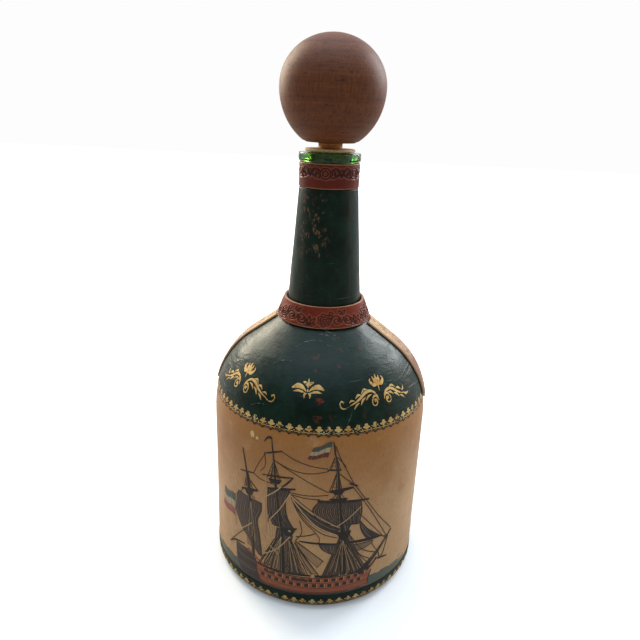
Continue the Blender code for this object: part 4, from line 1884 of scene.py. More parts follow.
@dataclass
class ShipPicture:
    """The print on the front panel: a three-masted warship under sail, drawn with laid-on ink."""

    form: BottleForm
    unevenness: float = 0.00005
    port_pitch: float = 3.8
    edge_marks: int = 76
    low: float = 9.7

    def build(self) -> None:
        """Make both panels and lay the ship on the front one."""
        paper = PicturePaper("varnished_paper_print").material()
        ink = PicturePaper("print_ink", inked=True).material()
        outline = self.form.outline(self.form.panel_out, self.unevenness)
        half = QUARTER - math.radians(0.18)
        low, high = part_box("picture_panel_front")[0].z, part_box("picture_panel_front")[1].z
        thickness = self.form.panel_out - self.form.gap
        for end, turn in (("front", 0.0), ("back", math.pi)):
            first, last = turn - half, turn + half
            skin = Skin(
                outline, low, high, first, last, thickness, rows=70, columns=200, edge=0.0003, soft=0.0009
            )
            name = f"picture_panel_{end}"
            skin.solid().made(f"{name}_print", paper, "bottle", "picture_leather", [name])
        body_radius = float(outline.radius_at(self.form.body_height / 2)) / MM

        def place(flat: Array, lift: Array) -> Array:
            """Points of the flat drawing wrapped round the bottle."""
            return outline.place(flat[..., 0] / body_radius, flat[..., 1] * MM, lift)

        sheet = Inlay(place)
        for level, draw, name in (
            (0, self.draw_sea, "print_sea"),
            (2, self.draw_hull, "print_hull"),
            (7, self.draw_back_rigging, "print_back_rigging"),
            (9, self.draw_sails, "print_sails"),
            (12, self.draw_rigging, "print_rigging"),
            (16, self.draw_flags, "print_flags"),
            # The last piece is painted shadow below the cover's lower edge.
            (0, self.draw_edge_shadow, "painted_edge_shadow"),
        ):
            sheet.level = level
            draw(sheet)
            sheet.made(name, ink, "picture_leather")

    def draw_sea(self, sheet: Inlay) -> None:
        """Water on both sides and below the hull, its edge broken into small waves.

        Args:
            sheet: Where to draw.
        """
        low = self.low
        for side, inner, outer in ((-1, 33.0, 63.0), (1, 35.0, 66.0)):
            share = np.linspace(0, 1, 31)
            across = side * (inner + (outer - inner) * share)
            top = 15.7 - 4.0 * share**2.2 + 0.35 * np.sin(share * 21) + 0.2 * np.sin(share * 47)
            upper = np.stack([across, top], axis=1)
            lower = np.stack([across, np.full(31, low)], axis=1)
            sheet.patch(upper, lower, Ink.SEA, (0.86, 0.86, 0.75, 0.35), 7)
            for k in range(9):
                start = inner + (outer - inner) * (0.02 + 0.09 * k)
                level = low + 0.9 + 4.4 * ((k * 0.618) % 1.0)
                wave = [(side * (start + x), level + z) for x, z in ((0.0, 0.0), (2.2, 0.35), (4.6, 0.0))]
                sheet.stroke(wave, (0.1, 0.45, 0.1), Ink.DEEP if k % 2 else Ink.LEAF, 0.7)
        share = np.linspace(-1, 1, 80)
        upper = np.stack([share * 60, 10.9 - 0.5 * share**2 + 0.15 * np.sin(share * 40)], axis=1)
        lower = np.stack([share * 60, np.full(80, low - 0.2)], axis=1)
        sheet.patch(upper, lower, Ink.DEEP, (0.3, 0.85, 0.9, 0.85, 0.3))

    def draw_hull(self, sheet: Inlay) -> None:
        """Red-brown hull with wales, two rows of ports set like a chequer, and the dark stern.

        Args:
            sheet: Where to draw.
        """
        sheet.area(
            [(-24.0, 22.8), (-19.0, 21.3), (-8.0, 20.5), (8.0, 20.3), (24.0, 20.6), (36.6, 22.0)],
            [(-21.0, 11.0), (-15.0, 10.8), (-5.0, 10.8), (8.0, 10.8), (24.0, 10.9), (35.4, 11.3)],
            Ink.HULL, 0.93,
        )
        sheet.area(
            [(-21.6, 14.2), (-8.0, 13.7), (10.0, 13.6), (35.6, 14.2)],
            [(-20.0, 11.0), (-8.0, 10.8), (10.0, 10.8), (35.2, 11.2)], Ink.STRAKE, 0.8,
        )
        sheet.level += 1
        for level, width, ink in (
            (14.0, 0.3, Ink.PORT), (17.1, 0.3, Ink.PORT), (20.4, 0.5, Ink.LINE), (11.3, 0.35, Ink.PORT),
        ):
            rise = 0.05 * (level - 10)
            sheet.stroke(
                [(-22.6, level + 1.4 * rise), (-8.0, level), (10.0, level - 0.1), (35.6, level + rise)],
                width, ink, 0.75, 2.0,
            )
        sheet.level += 1
        for level, shift, tall, ink in (
            (15.5, 0.0, 1.9, Ink.PORT), (18.7, 0.5, 1.8, Ink.PORT), (12.6, 0.5, 1.0, Ink.LINE),
        ):
            first = -19.0 + shift * self.port_pitch
            for k in range(int((34.0 - first) / self.port_pitch) + 1):
                x = first + k * self.port_pitch
                z = level + 0.0016 * (x - 6) ** 2 * 0.5
                low, high = z - tall / 2, z + tall / 2
                cover = 0.92 if tall > 1.5 else 0.4
                sheet.stroke([(x, low), (x + 0.1, high)], 2.1, ink, cover, 3.0)
                if tall > 1.5:
                    sheet.stroke([(x + 1.25, low), (x + 1.25, high)], 0.28, Ink.ROPE, 0.45, 3.0)
        sheet.level += 1
        sheet.stroke([(-3.6, 18.6), (4.2, 18.4)], 1.6, Ink.PORT, 0.85)
        sheet.stroke([(-18.4, 18.9), (-12.4, 18.6)], 1.3, Ink.PORT, 0.75)
        sheet.area(
            [(-37.6, 26.2), (-37.4, 20.0), (-36.6, 15.0), (-33.6, 10.4)],
            [(-24.4, 26.6), (-22.8, 21.0), (-22.4, 16.0), (-19.6, 10.6)], Ink.STERN, 0.92,
        )
        sheet.level += 1
        for level, left, right, ink, width in (
            (25.8, -37.2, -25.2, Ink.FAINT, 0.5), (23.6, -37.4, -24.6, Ink.LINE, 0.5),
            (21.0, -37.4, -23.8, Ink.GLINT, 0.35), (18.4, -37.0, -23.4, Ink.LINE, 0.5),
            (15.6, -36.4, -23.0, Ink.GLINT, 0.35), (13.0, -35.2, -22.0, Ink.LINE, 0.45),
        ):
            sheet.stroke([(left, level), ((left + right) / 2, level - 0.5), (right, level)], width, ink, 0.8)
        for level in (22.3, 19.7, 17.0):
            for k in range(6):
                x = -35.6 + 2.1 * k
                sheet.stroke([(x, level - 0.75), (x, level + 0.55)], 0.8, Ink.HATCH, 0.7, 3.0)
        rail = [(-28.6, 26.9), (-25.0, 25.4), (-22.0, 23.4), (-18.0, 22.0)]
        sheet.stroke(rail, (1.6, 1.4, 0.8), Ink.HULL, 0.8)
        for left, right, width in ((-22.0, 5.8, 0.9), (7.8, 19.6, 1.2), (24.0, 36.4, 0.9)):
            count = int((right - left) / 1.3)
            sheet.stroke([(left, 21.4), ((left + right) / 2, 21.3), (right, 21.6)], width, Ink.LINE, 0.9)
            for k in range(count):
                x = left + 1.3 * k
                sheet.stroke([(x, 21.4), (x + 0.2, 22.1 + 0.5 * math.sin(k * 2.4))], 0.7, Ink.LINE, 0.8, 3.0)
        sheet.stroke([(6.8, 20.4), (6.9, 22.8)], 0.8, Ink.ROPE, 0.8)
        for start in (20.2, 21.6):
            bow = [(34.4, start), (37.6, start + 1.8), (40.2, start + 4.6)]
            sheet.stroke(bow, (0.9, 0.6, 0.3), Ink.LINE, 0.85)
        sheet.stroke([(37.4, 19.6), (36.0, 15.6), (35.6, 11.4)], (0.7, 0.5), Ink.LINE, 0.8)

    def draw_back_rigging(self, sheet: Inlay) -> None:
        """Soft shade under the lower rigging, then the lines that pass behind the sails.

        Args:
            sheet: Where to draw.
        """
        for left, right, cover in (
            ([(-9.8, 45.0), (-14.0, 34.0), (-19.0, 22.6)], [(-5.0, 44.0), (-2.0, 34.0), (3.6, 22.0)], 0.62),
            ([(18.8, 46.0), (15.6, 34.0), (11.8, 22.0)], [(23.0, 46.0), (28.0, 34.0), (34.0, 21.6)], 0.66),
            (
                [(-28.6, 60.0), (-30.0, 46.0), (-29.0, 30.0)],
                [(-24.0, 60.0), (-22.0, 46.0), (-21.0, 28.0)],
                0.35,
            ),
        ):
            sheet.area(left, right, Ink.FAINT, cover, 1.5)
        sheet.level += 1
        for stay in STAYS[:11]:
            sheet.stroke(stay, 0.34, Ink.LINE, 0.72)
        for fan in FANS:
            self.draw_fan(sheet, fan, Ink.LINE, 0.8)

    def draw_fan(self, sheet: Inlay, fan: Fan, ink: Ink, cover: float) -> None:
        """Shrouds from a masthead, with rungs that cross them at even shares of their length.

        Args:
            sheet: Where to draw.
            fan: The fan.
            ink: Its colour.
            cover: How fully it covers.
        """
        head = np.array(fan.head)
        feet = np.linspace(fan.first, fan.last, fan.count)
        feet[1:-1, 0] += 0.55 * np.sin(np.arange(1, fan.count - 1) * 2.4 + fan.head[0])
        for foot in feet:
            start = head + (foot - head) * 0.03
            sheet.stroke([tuple(start), tuple(foot)], (fan.width * 0.8, fan.width * 1.15), ink, cover, 4.0)
        for k in range(fan.rungs):
            share = 0.25 + 0.7 * k / fan.rungs
            left, right = head + (feet[0] - head) * share, head + (feet[-1] - head) * share
            sag = (left + right) / 2 - (0.0, 0.25)
            sheet.stroke([tuple(left), tuple(sag), tuple(right)], 0.16, ink, cover * 0.7, 2.5)

    def draw_sails(self, sheet: Inlay) -> None:
        """Dark sails, each with fine lines drawn at even shares between its two edges.

        Args:
            sheet: Where to draw.
        """
        first = sheet.level
        for sail in SAILS:
            sheet.level = first
            left, right = sheet.area(sail.left, sail.right, sail.ink, sail.cover)
            sheet.level = first + 1
            for k in range(1, sail.lines):
                share = k / sail.lines
                line = left + (right - left) * share
                stop = max(4, int(len(line) * (0.82 + 0.18 * math.sin(k * 2.1))))
                ink = Ink.GLINT if k % 2 else Ink.HATCH
                sheet.stroke(line[1:stop], (0.12, 0.24, 0.14), ink, 0.38, 2.0)
            sheet.level = first + 2
            for edge in (left, right):
                sheet.stroke(edge, 0.3, Ink.LINE, 0.8, 2.0)
            sheet.stroke([tuple(left[-1]), tuple(right[-1])], 0.35, Ink.LINE, 0.8, 2.0)

    def draw_rigging(self, sheet: Inlay) -> None:
        """Masts, yards, fighting tops, shrouds in front of the sails, stays and pale ropes.

        Args:
            sheet: Where to draw.
        """
        for points, widths in MASTS:
            sheet.stroke(points, widths, Ink.LINE, 0.93)
            offset = [(x - 0.22 * widths[min(k, len(widths) - 1)], z) for k, (x, z) in enumerate(points)]
            sheet.stroke(offset[1:], 0.22, Ink.GLINT, 0.5)
        sheet.level += 1
        for points, width in YARDS:
            sheet.stroke(points, (width * 0.55, width, width, width * 0.55), Ink.LINE, 0.92)
        for fan in FRONT_FANS:
            self.draw_fan(sheet, fan, Ink.LINE, 0.85)
        for fan in PALE_FANS:
            self.draw_fan(sheet, fan, Ink.ROPE, 0.42)
        sheet.level += 1
        for top, foot in (
            (((-16.2, 73.6), (-9.4, 74.2)), ((-15.0, 71.6), (-10.8, 71.8))),
            (((17.2, 47.4), (24.4, 47.6)), ((18.9, 43.4), (23.0, 43.4))),
            (((-8.8, 47.2), (-2.2, 48.2)), ((-7.2, 43.8), (-4.0, 44.2))),
            (((-30.6, 62.2), (-24.4, 63.8)), ((-29.0, 59.8), (-25.8, 60.2))),
            (((13.6, 71.4), (20.4, 71.8)), ((15.2, 69.0), (18.8, 69.0))),
            (((12.8, 66.8), (21.6, 66.6)), ((14.6, 64.6), (20.4, 64.6))),
        ):
            sheet.area(top, foot, Ink.LINE, 0.92)
        for stay in STAYS[11:]:
            sheet.stroke(stay, 0.36, Ink.LINE, 0.8)
        sheet.level += 1
        for points, width in ROPES:
            sheet.stroke(points, width, Ink.ROPE, 0.85)
        sheet.stroke([(-5.6, 47.2), (-4.6, 46.6)], 0.9, Ink.ROPE, 0.9)
        for x in (-14.6, -13.4, -16.0):
            sheet.stroke([(x, 48.4), (x + 0.3, 44.0), (x + 0.8, 40.4)], (0.5, 0.9, 0.4), Ink.ROPE, 0.7)

    def draw_flags(self, sheet: Inlay) -> None:
        """A banded flag on the foremast, a faded one at the stern, a pennant and two old spots.

        Args:
            sheet: Where to draw.
        """
        for head, foot, far_head, far_foot, lowest, wave in (
            ((13.2, 96.7), (11.4, 89.3), (4.8, 93.4), (2.4, 87.8), Ink.RED, 0.35),
            ((-38.0, 54.2), (-38.2, 41.4), (-48.4, 52.8), (-50.2, 41.6), Ink.ROSE, 0.5),
        ):
            share = np.linspace(0, 1, 14)[:, None]
            swell = np.concatenate([np.zeros((14, 1)), wave * np.sin(share * 7)], axis=1)
            upper = np.array(head) + (np.array(far_head) - np.array(head)) * share + swell
            lower = np.array(foot) + (np.array(far_foot) - np.array(foot)) * share + swell
            for k, ink in enumerate((Ink.LEAF, Ink.CREAM, lowest)):
                first = upper + (lower - upper) * k / 3
                second = upper + (lower - upper) * (k + 1) / 3
                sheet.patch(first, second, ink, 0.9, 3)
            sheet.level += 1
            for k in (0, 4, 8, 11):
                line = np.stack([upper[k], (upper[k] + lower[k]) / 2 + (0.2, 0), lower[k]])
                sheet.stroke(line, 0.22, Ink.FAINT, 0.45, 2.0)
            sheet.stroke(upper, 0.25, Ink.FAINT, 0.8)
            sheet.stroke(lower, 0.25, Ink.FAINT, 0.8)
        sheet.stroke([(13.6, 96.8), (14.2, 95.2), (14.6, 92.0)], (0.3, 0.7), Ink.LINE, 0.9)
        pennant = [(-14.9, 95.2), (-16.4, 95.3), (-17.6, 94.2), (-18.6, 92.4)]
        sheet.stroke(pennant, (1.0, 0.8, 0.2), Ink.LINE, 0.85)
        sheet.stroke([(-26.0, 95.2), (-25.4, 94.2), (-25.0, 92.6)], (1.6, 2.4, 1.4), Ink.SPOT, 0.8)
        sheet.stroke([(-22.9, 93.6), (-22.2, 92.4)], (1.0, 1.5), Ink.SPOT, 0.75)
        sheet.stroke([(-37.2, 63.4), (-36.2, 61.6)], (0.8, 1.2), Ink.SPOT, 0.35)

    def draw_edge_shadow(self, sheet: Inlay) -> None:
        """Painted shadow: dark scallops along the front panel's upper edge, below the cover's lower edge, one
        under each fleuron of gold.

        Args:
            sheet: Where to draw.
        """
        pitch = TURN * self.form.glass_radius / MM / self.edge_marks
        for k in range(-self.edge_marks // 4 + 2, self.edge_marks // 4 - 2):
            x = (k + 0.5) * pitch * 1.026
            sheet.stroke([(x - 0.9, 99.35), (x, 98.95), (x + 0.9, 99.35)], (0.3, 0.75, 0.3), Ink.LINE, 0.85)


# Gold ornament

class Leafing(Enum):
    """Colours laid on the green leather: the gold's full tone, old red dabs and pale scratches."""

    GOLD = (1.0, 1.0, 1.0, 1.0)
    RED = srgb(132, 44, 30)
    PALE = srgb(132, 150, 144)


@dataclass(frozen=True)
class Leaf:
    """One tooled stroke of an ornament: its points, its widths and how fully the gold covers."""

    points: Points
    width: Shares
    cover: float = 0.97


GROUP = (
    # Tulip: three upright petals, two bent leaves and a stem.
    Leaf([(40.2, 118.2), (40.3, 120.0), (40.4, 121.6)], (0.5, 2.0, 0.2)),
    Leaf([(39.8, 118.0), (38.6, 119.6), (38.0, 121.0)], (0.5, 1.6, 0.2)),
    Leaf([(40.8, 118.0), (42.0, 119.6), (42.6, 121.0)], (0.5, 1.6, 0.2)),
    Leaf([(39.8, 117.8), (37.4, 118.0), (35.6, 119.4), (36.4, 120.4)], (0.6, 1.5, 1.3, 0.2)),
    Leaf([(40.8, 117.8), (43.2, 118.0), (45.0, 119.4), (44.2, 120.4)], (0.6, 1.5, 1.3, 0.2)),
    Leaf([(40.3, 118.4), (40.3, 116.9), (40.1, 115.4)], (1.3, 0.6, 0.2)),
    # Outer scroll, from its curl out to the trailing leaves.
    Leaf(
        [(44.9, 111.8), (43.6, 111.9), (43.3, 110.7), (44.6, 109.9), (46.0, 110.5), (46.1, 112.1),
         (44.6, 113.6), (42.9, 113.3), (42.0, 111.6)],
        (1.3, 1.0, 0.5, 0.4, 0.5, 0.7, 0.9, 0.7, 0.2),
    ),
    Leaf(
        [(42.0, 111.8), (42.9, 113.8), (45.4, 115.0), (48.6, 114.7), (51.6, 112.9), (54.6, 111.4),
         (57.4, 110.8)],
        (0.3, 0.8, 1.0, 1.1, 0.9, 0.6, 0.2),
    ),
    Leaf([(45.0, 113.8), (47.2, 113.5), (48.8, 112.2)], (0.2, 0.9, 0.2)),
    Leaf([(47.0, 115.6), (49.4, 115.9), (51.4, 114.7)], (0.2, 0.9, 0.2)),
    Leaf([(49.2, 112.8), (51.2, 111.9), (52.4, 110.4)], (0.2, 1.1, 0.2)),
    Leaf([(51.4, 114.0), (53.6, 113.9), (55.2, 112.8)], (0.2, 1.1, 0.2)),
    Leaf([(53.0, 110.9), (55.0, 110.0), (56.2, 108.8)], (0.2, 0.8, 0.2)),
    Leaf([(55.6, 112.2), (57.2, 112.7), (58.0, 114.0)], (0.3, 1.0, 0.2)),
    Leaf([(56.4, 110.9), (58.6, 110.0), (61.0, 110.2)], (0.2, 1.1, 0.2)),
    Leaf([(60.6, 109.2), (62.0, 109.6), (62.2, 110.8)], (0.3, 0.8, 0.2), 0.8),
    # Inner scroll, with its long tail towards the middle.
    Leaf(
        [(35.6, 112.0), (36.9, 112.2), (37.2, 111.0), (36.0, 110.1), (34.6, 110.6), (34.4, 112.2),
         (35.8, 113.8), (37.4, 113.5), (38.4, 111.9)],
        (1.3, 1.0, 0.5, 0.4, 0.5, 0.7, 0.9, 0.7, 0.2),
    ),
    Leaf(
        [(38.4, 112.0), (37.4, 114.4), (34.8, 116.0), (31.2, 115.7), (28.0, 114.0), (25.0, 112.6),
         (22.0, 111.6)],
        (0.3, 0.8, 1.0, 1.2, 1.0, 0.7, 0.3),
    ),
    Leaf([(34.8, 114.7), (32.6, 114.2), (31.0, 112.8)], (0.2, 0.9, 0.2)),
    Leaf([(32.8, 116.7), (30.6, 116.9), (28.8, 115.6)], (0.2, 0.9, 0.2)),
    Leaf([(31.0, 114.0), (29.0, 113.0), (27.8, 111.4)], (0.2, 1.1, 0.2)),
    Leaf([(28.8, 115.0), (26.8, 115.2), (25.2, 114.0)], (0.2, 1.0, 0.2)),
    Leaf([(27.0, 112.3), (25.2, 111.3), (24.0, 110.0)], (0.2, 0.9, 0.2)),
    Leaf([(24.6, 113.2), (22.8, 113.4), (21.6, 112.6)], (0.2, 0.8, 0.2)),
    Leaf(
        [(22.2, 111.7), (19.8, 110.6), (17.8, 110.8), (16.8, 112.2), (17.6, 113.4), (18.8, 112.8)],
        (0.3, 0.45, 0.5, 0.5, 0.5, 0.9), 0.9,
    ),
)

PALMETTE_HALF = (
    Leaf([(0.7, 116.9), (2.8, 118.2), (5.8, 118.7), (8.8, 117.7)], (0.3, 1.5, 1.9, 0.5)),
    Leaf([(1.0, 116.2), (3.0, 116.7), (5.2, 116.9), (7.6, 116.5)], (0.2, 0.8, 0.9, 0.2)),
    Leaf([(0.6, 118.9), (1.6, 119.9), (3.0, 120.2)], (0.4, 1.2, 0.3)),
    Leaf([(0.3, 116.2), (1.5, 115.7), (1.4, 114.3)], (0.2, 1.1, 0.2)),
)

PALMETTE_MIDDLE = (
    Leaf([(0.0, 118.2), (0.0, 119.9), (0.0, 121.5)], (0.5, 1.5, 0.2)),
    Leaf([(0.0, 117.8), (0.0, 117.2), (0.0, 116.7)], (0.5, 0.9, 0.3)),
)

DABS = (
    ([(4.4, 113.9), (6.4, 113.6), (8.8, 113.9)], (1.2, 2.4, 2.0, 1.0), 0.9),
    ([(3.4, 107.4), (6.0, 106.4), (8.0, 107.6)], (1.0, 3.4, 1.0), 0.30),
    ([(2.0, 124.6), (4.0, 124.2)], (1.0, 2.2, 1.0), 0.35),
    ([(17.0, 126.2), (19.4, 125.6)], (0.8, 1.8, 0.8), 0.30),
)

SCRATCHES = (
    [(-16.0, 131.0), (-8.0, 133.2), (4.0, 134.0), (14.0, 132.0)],
    [(2.0, 136.0), (12.0, 135.6), (22.0, 133.4)],
    [(8.0, 137.4), (16.0, 136.4), (24.0, 134.6)],
    [(-26.0, 124.0), (-20.0, 126.0), (-13.0, 126.4)],
    [(20.0, 104.0), (22.0, 107.5), (23.0, 110.4)],
    [(-30.0, 106.0), (-25.0, 108.4), (-19.0, 109.0)],
)


@dataclass
class GoldTooling:
    """Gold on the green leather: the borders, the scroll groups and the palmettes."""

    form: BottleForm
    leather: BodyLeather
    border_count: int = 76
    fleuron_size: float = 1.12
    upper_border: float = 100.75
    lower_border: float = 4.3

    def build(self) -> None:
        """Lay the gold in three pieces: upper border, ornaments, lower border."""
        material = GoldPaint("gold_paint").material()
        outline = self.leather.outline()
        body_radius = float(outline.radius_at(self.form.body_height / 2)) / MM

        def place(flat: Array, lift: Array) -> Array:
            """Points of the flat drawing wrapped round the bottle."""
            return outline.place(flat[..., 0] / body_radius, flat[..., 1] * MM, lift)

        sheet = Inlay(place, thickness=0.04, step=0.0006)
        circle = TURN * body_radius
        self.draw_border(sheet, circle, self.upper_border, 8.0)
        sheet.made("gold_border_upper", material, "green_leather")
        for side in (1, -1):
            for turn in (0.0, circle / 2):
                self.draw_leaves(sheet, GROUP, side, turn)
        for turn in (0.0, circle / 2):
            for side in (1, -1):
                self.draw_leaves(sheet, PALMETTE_HALF, side, turn)
            self.draw_leaves(sheet, PALMETTE_MIDDLE, 1, turn)
        sheet.made("gold_ornaments", material, "green_leather")
        self.draw_marks(sheet)
        marked = GreenLeather("marked_green_leather", marked=True).material()
        sheet.made("cover_marks", marked, "green_leather")
        self.draw_border(sheet, circle, self.lower_border, 0.0)
        sheet.made("gold_border_lower", material, "green_leather")

    @staticmethod
    def draw_marks(sheet: Inlay) -> None:
        """Old damage on the front of the cover: a red dab, faint stains and bent scratches.

        Args:
            sheet: Where to draw.
        """
        for points, width, cover in DABS:
            sheet.stroke(points, width, Leafing.RED, cover, 0.5)
        for points in SCRATCHES:
            sheet.stroke(points, (0.1, 0.32, 0.2, 0.1), Leafing.PALE, 0.45, 0.8)

    def draw_border(self, sheet: Inlay, circle: float, level: float, clear: float) -> None:
        """A row of three-lobed fleurons on a scalloped line, with a dot between each two.

        Args:
            sheet: Where to draw.
            circle: The way round.
            level: Height of the line.
            clear: Half the width left bare at each side, where a strap comes down.
        """
        pitch = circle / self.border_count
        rise = np.array([0.0, 0.22, 0.45, 0.75, 1.1, 1.4, 1.62, 1.85, 2.1, 2.35, 2.55]) * self.fleuron_size
        half = np.array([0.5, 0.3, 0.42, 1.25, 1.72, 1.5, 0.8, 0.72, 0.86, 0.6, 0.12]) * self.fleuron_size
        for k in range(self.border_count):
            middle = (k + 0.5) * pitch
            if abs(abs(middle - circle / 2) - circle / 4) < clear:
                continue
            lean = 0.10 * math.sin(k * 1.7)
            centre = middle + lean * rise
            left = np.stack([centre - half, level + rise], axis=1)
            right = np.stack([centre + half, level + rise], axis=1)
            worn = 0.93 + 0.07 * math.sin(k * 2.3)
            sheet.patch(left, right, Leafing.GOLD, worn, 3, 0.05)
            share = np.linspace(-0.5, 0.5, 5)
            sag = level - 0.55 + 0.5 * np.sin(math.pi * np.abs(2 * share))
            sheet.stroke(np.stack([middle + pitch * share, sag], axis=1), 0.34, Leafing.GOLD, worn, 1.2)
            dot = middle + pitch / 2
            sheet.stroke([(dot - 0.3, level + 0.35), (dot + 0.3, level + 0.35)], 0.6, Leafing.GOLD, worn, 1.0)

    @staticmethod
    def draw_leaves(sheet: Inlay, leaves: Sequence[Leaf], side: int, turn: float) -> None:
        """Lay an ornament's strokes.

        Args:
            sheet: Where to draw.
            leaves: The strokes.
            side: 1 to draw them as given, -1 mirrored.
            turn: How far round they are moved.
        """
        for leaf_shape in leaves:
            moved = [(turn + side * x, z) for x, z in leaf_shape.points]
            sheet.stroke(moved, leaf_shape.width, Leafing.GOLD, leaf_shape.cover, 0.5, 0.05)


# Glass, stopper and base

@dataclass
class GlassBottle:
    """The green glass bottle: only its lip and mouth show."""

    form: BottleForm
    wall: float = 0.0030
    punt_rise: float = 0.0035
    punt_ring: float = 0.0060
    lip_height: float = 0.0041
    lip_overhang: float = 0.0017
    lip_edge: float = 0.0007
    mouth_edge: float = 0.0005
    finish_step: float = 0.0002
    steps: int = 192

    def build(self) -> None:
        """Turn the whole bottle, inside and outside, as one closed piece of glass."""
        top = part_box("glass_bottle")[1].z
        bottom = top - self.lip_height
        start = self.form.finish_start
        finish = self.form.neck_radius(start, 0.0) + self.finish_step
        bore = finish - self.finish_step - self.wall
        lip = finish + self.lip_overhang
        edge = self.lip_edge
        punt_edge = self.form.glass_radius - self.form.heel_radius - self.punt_ring
        share = np.linspace(0, 1, 16)
        dome = self.form.glass_bottom + self.punt_rise * (1 - share**2)
        under = np.stack([punt_edge * share, dome], axis=1)
        floor = np.stack([punt_edge * share * 0.9, dome + self.wall], axis=1)[::-1]
        profile = np.concatenate(
            [
                under,
                self.form.points(0.0),
                [(finish, start + 0.0002), (finish, bottom)],
                arc((lip - edge, bottom + edge), edge, -QUARTER, 0.0, 6),
                arc((lip - edge, top - edge), edge, 0.0, QUARTER, 6),
                arc((bore + self.mouth_edge, top - self.mouth_edge), self.mouth_edge, QUARTER, math.pi, 4),
                self.form.points(-self.wall)[::-1],
                floor,
            ]
        )
        glass = GreenGlass("green_glass").material()
        solid = turned(profile, self.steps, self.hand_finish(bottom))
        solid.made("glass_bottle_body", glass, "bottle", "green_glass", ["glass_bottle"])

    def hand_finish(self, bottom: float) -> Callable[[Array, Array], Array]:
        """Slight waves round the lip, none on the rest of the glass.

        Args:
            bottom: Height of the lip's lower edge.

        Returns:
            Extra radius from azimuth and height.
        """

        def wobble(azimuth: Array, height: Array) -> Array:
            """Two waves round the lip, fading out below it."""
            share = np.clip((height - bottom) / self.lip_edge, 0, 1)
            return share * 0.00010 * (np.sin(4 * azimuth + 0.6) + 0.5 * np.sin(9 * azimuth + 2.0))

        return wobble


@dataclass
class Stopper:
    """The stopper: cork, stem and turned ball."""

    flat_radius: float = 0.0118
    stretch: float = 1.113
    squash: float = 0.925
    tenon_radius: float = 0.0040
    tenon_in_ball: float = 0.0130
    tenon_in_cork: float = 0.0120
    cork_taper: float = 0.0008
    gap: float = 0.0003
    steps: int = 144

    def build(self) -> None:
        """Make the three pieces on the stopper's body."""
        self.ball()
        self.stem()
        self.cork()

    def ball(self) -> None:
        """A little low above, drawn out below, with an eased edge round its flat foot."""
        low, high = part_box("stopper_ball")
        radius = high.x
        middle = high.z - radius * self.squash
        end = math.acos(self.flat_radius / radius)
        upper = arc((0.0, middle), radius, QUARTER, 0.0, 48)
        upper[:, 1] = middle + (upper[:, 1] - middle) * self.squash
        lower = arc((0.0, middle), radius, 0.0, -end, 40)
        lower[:, 1] = middle + (lower[:, 1] - middle) * self.stretch
        lower = lower[:-2]
        flat = self.flat_radius
        edge = np.array([lower[-1], (flat + 0.0001, low.z + 0.0004), (flat - 0.0006, low.z)])
        hole = self.tenon_radius + self.gap
        top = low.z + self.tenon_in_ball
        socket = np.array([(hole + 0.0004, low.z), (hole, low.z + 0.0004), (hole, top), (0.0, top)])
        curve = resampled(spline([tuple(p) for p in edge], 0.0002), 6)
        profile = np.concatenate([upper, lower[1:-1], curve, socket])
        profile[0, 0] = 0.0

        def wobble(azimuth: Array, height: Array) -> Array:
            """Three slow waves from the lathe, none at the flat foot."""
            share = np.clip((height - low.z) / 0.004, 0, 1)
            return share * 0.00008 * np.sin(3 * azimuth + height * 90)

        walnut = Wood("walnut").material()
        solid = turned(profile, self.steps, wobble)
        solid.made("stopper_ball_walnut", walnut, "stopper", "ball_wood", ["stopper_ball"])

    def stem(self) -> None:
        """A short collar with eased edges and a shallow groove, and a tenon at each end."""
        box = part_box("stopper_stem")
        ball_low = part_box("stopper_ball")[0].z
        cork_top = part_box("stopper_cork")[1].z
        radius = box[1].x
        low, high = cork_top + self.gap, ball_low - self.gap
        edge = 0.0002
        tenon = self.tenon_radius
        groove = low + (high - low) * 0.55
        profile = np.array(
            [
                (0.0, box[1].z), (tenon - edge, box[1].z), (tenon, box[1].z - edge), (tenon, high),
                (radius - edge, high), (radius, high - edge), (radius, groove + edge),
                (radius - edge * 0.8, groove), (radius - 0.00005, groove - edge),
                (radius, low + edge), (radius - edge, low), (tenon, low),
                (tenon, box[0].z + edge), (tenon - edge, box[0].z), (0.0, box[0].z),
            ]
        )
        wood = Wood("stem_wood", srgb(232, 166, 98), srgb(196, 122, 62), 700.0, 0.1).material()
        solid = turned(profile, self.steps // 2)
        solid.made("stopper_stem_wood", wood, "stopper", "stem_wood", ["stopper_stem"])

    def cork(self) -> None:
        """A head that rests on the lip, its edge soft, and a tapered plug with a hole for the stem."""
        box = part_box("stopper_cork")
        head_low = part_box("glass_bottle")[1].z + self.gap
        radius, top, bottom = box[1].x, box[1].z, box[0].z
        plug = radius - 0.0023 - self.gap
        edge = (top - head_low) * 0.42
        hole = self.tenon_radius + self.gap
        end = top - self.tenon_in_cork
        plug_height = np.linspace(head_low, bottom + 0.0006, 24)[1:]
        plug_radius = np.linspace(plug, plug - self.cork_taper, 24)[1:]
        profile = np.concatenate(
            [
                [(0.0, end), (hole, end), (hole, top - 0.0002), (hole + 0.0002, top)],
                np.stack([np.linspace(hole + 0.001, radius - edge - 0.001, 8), np.full(8, top)], axis=1),
                arc((radius - edge, top - edge), edge, QUARTER, 0.0, 6),
                arc((radius - edge, head_low + edge), edge, 0.0, -QUARTER, 6),
                [(plug + 0.0002, head_low), (plug, head_low - 0.0002)],
                np.stack([plug_radius, plug_height], axis=1),
                [(plug - self.cork_taper - 0.0006, bottom), (0.0, bottom)],
            ]
        )

        def wobble(azimuth: Array, height: Array) -> Array:
            """Shallow dents of pressed cork: two crossed waves, inwards only."""
            return -0.00004 * (1 + np.sin(13 * azimuth + height * 900) * np.sin(5 * azimuth + 1))

        cork = Cork("cork").material()
        solid = turned(profile, self.steps, wobble)
        solid.made("stopper_cork_plug", cork, "stopper", "cork", ["stopper_cork"])


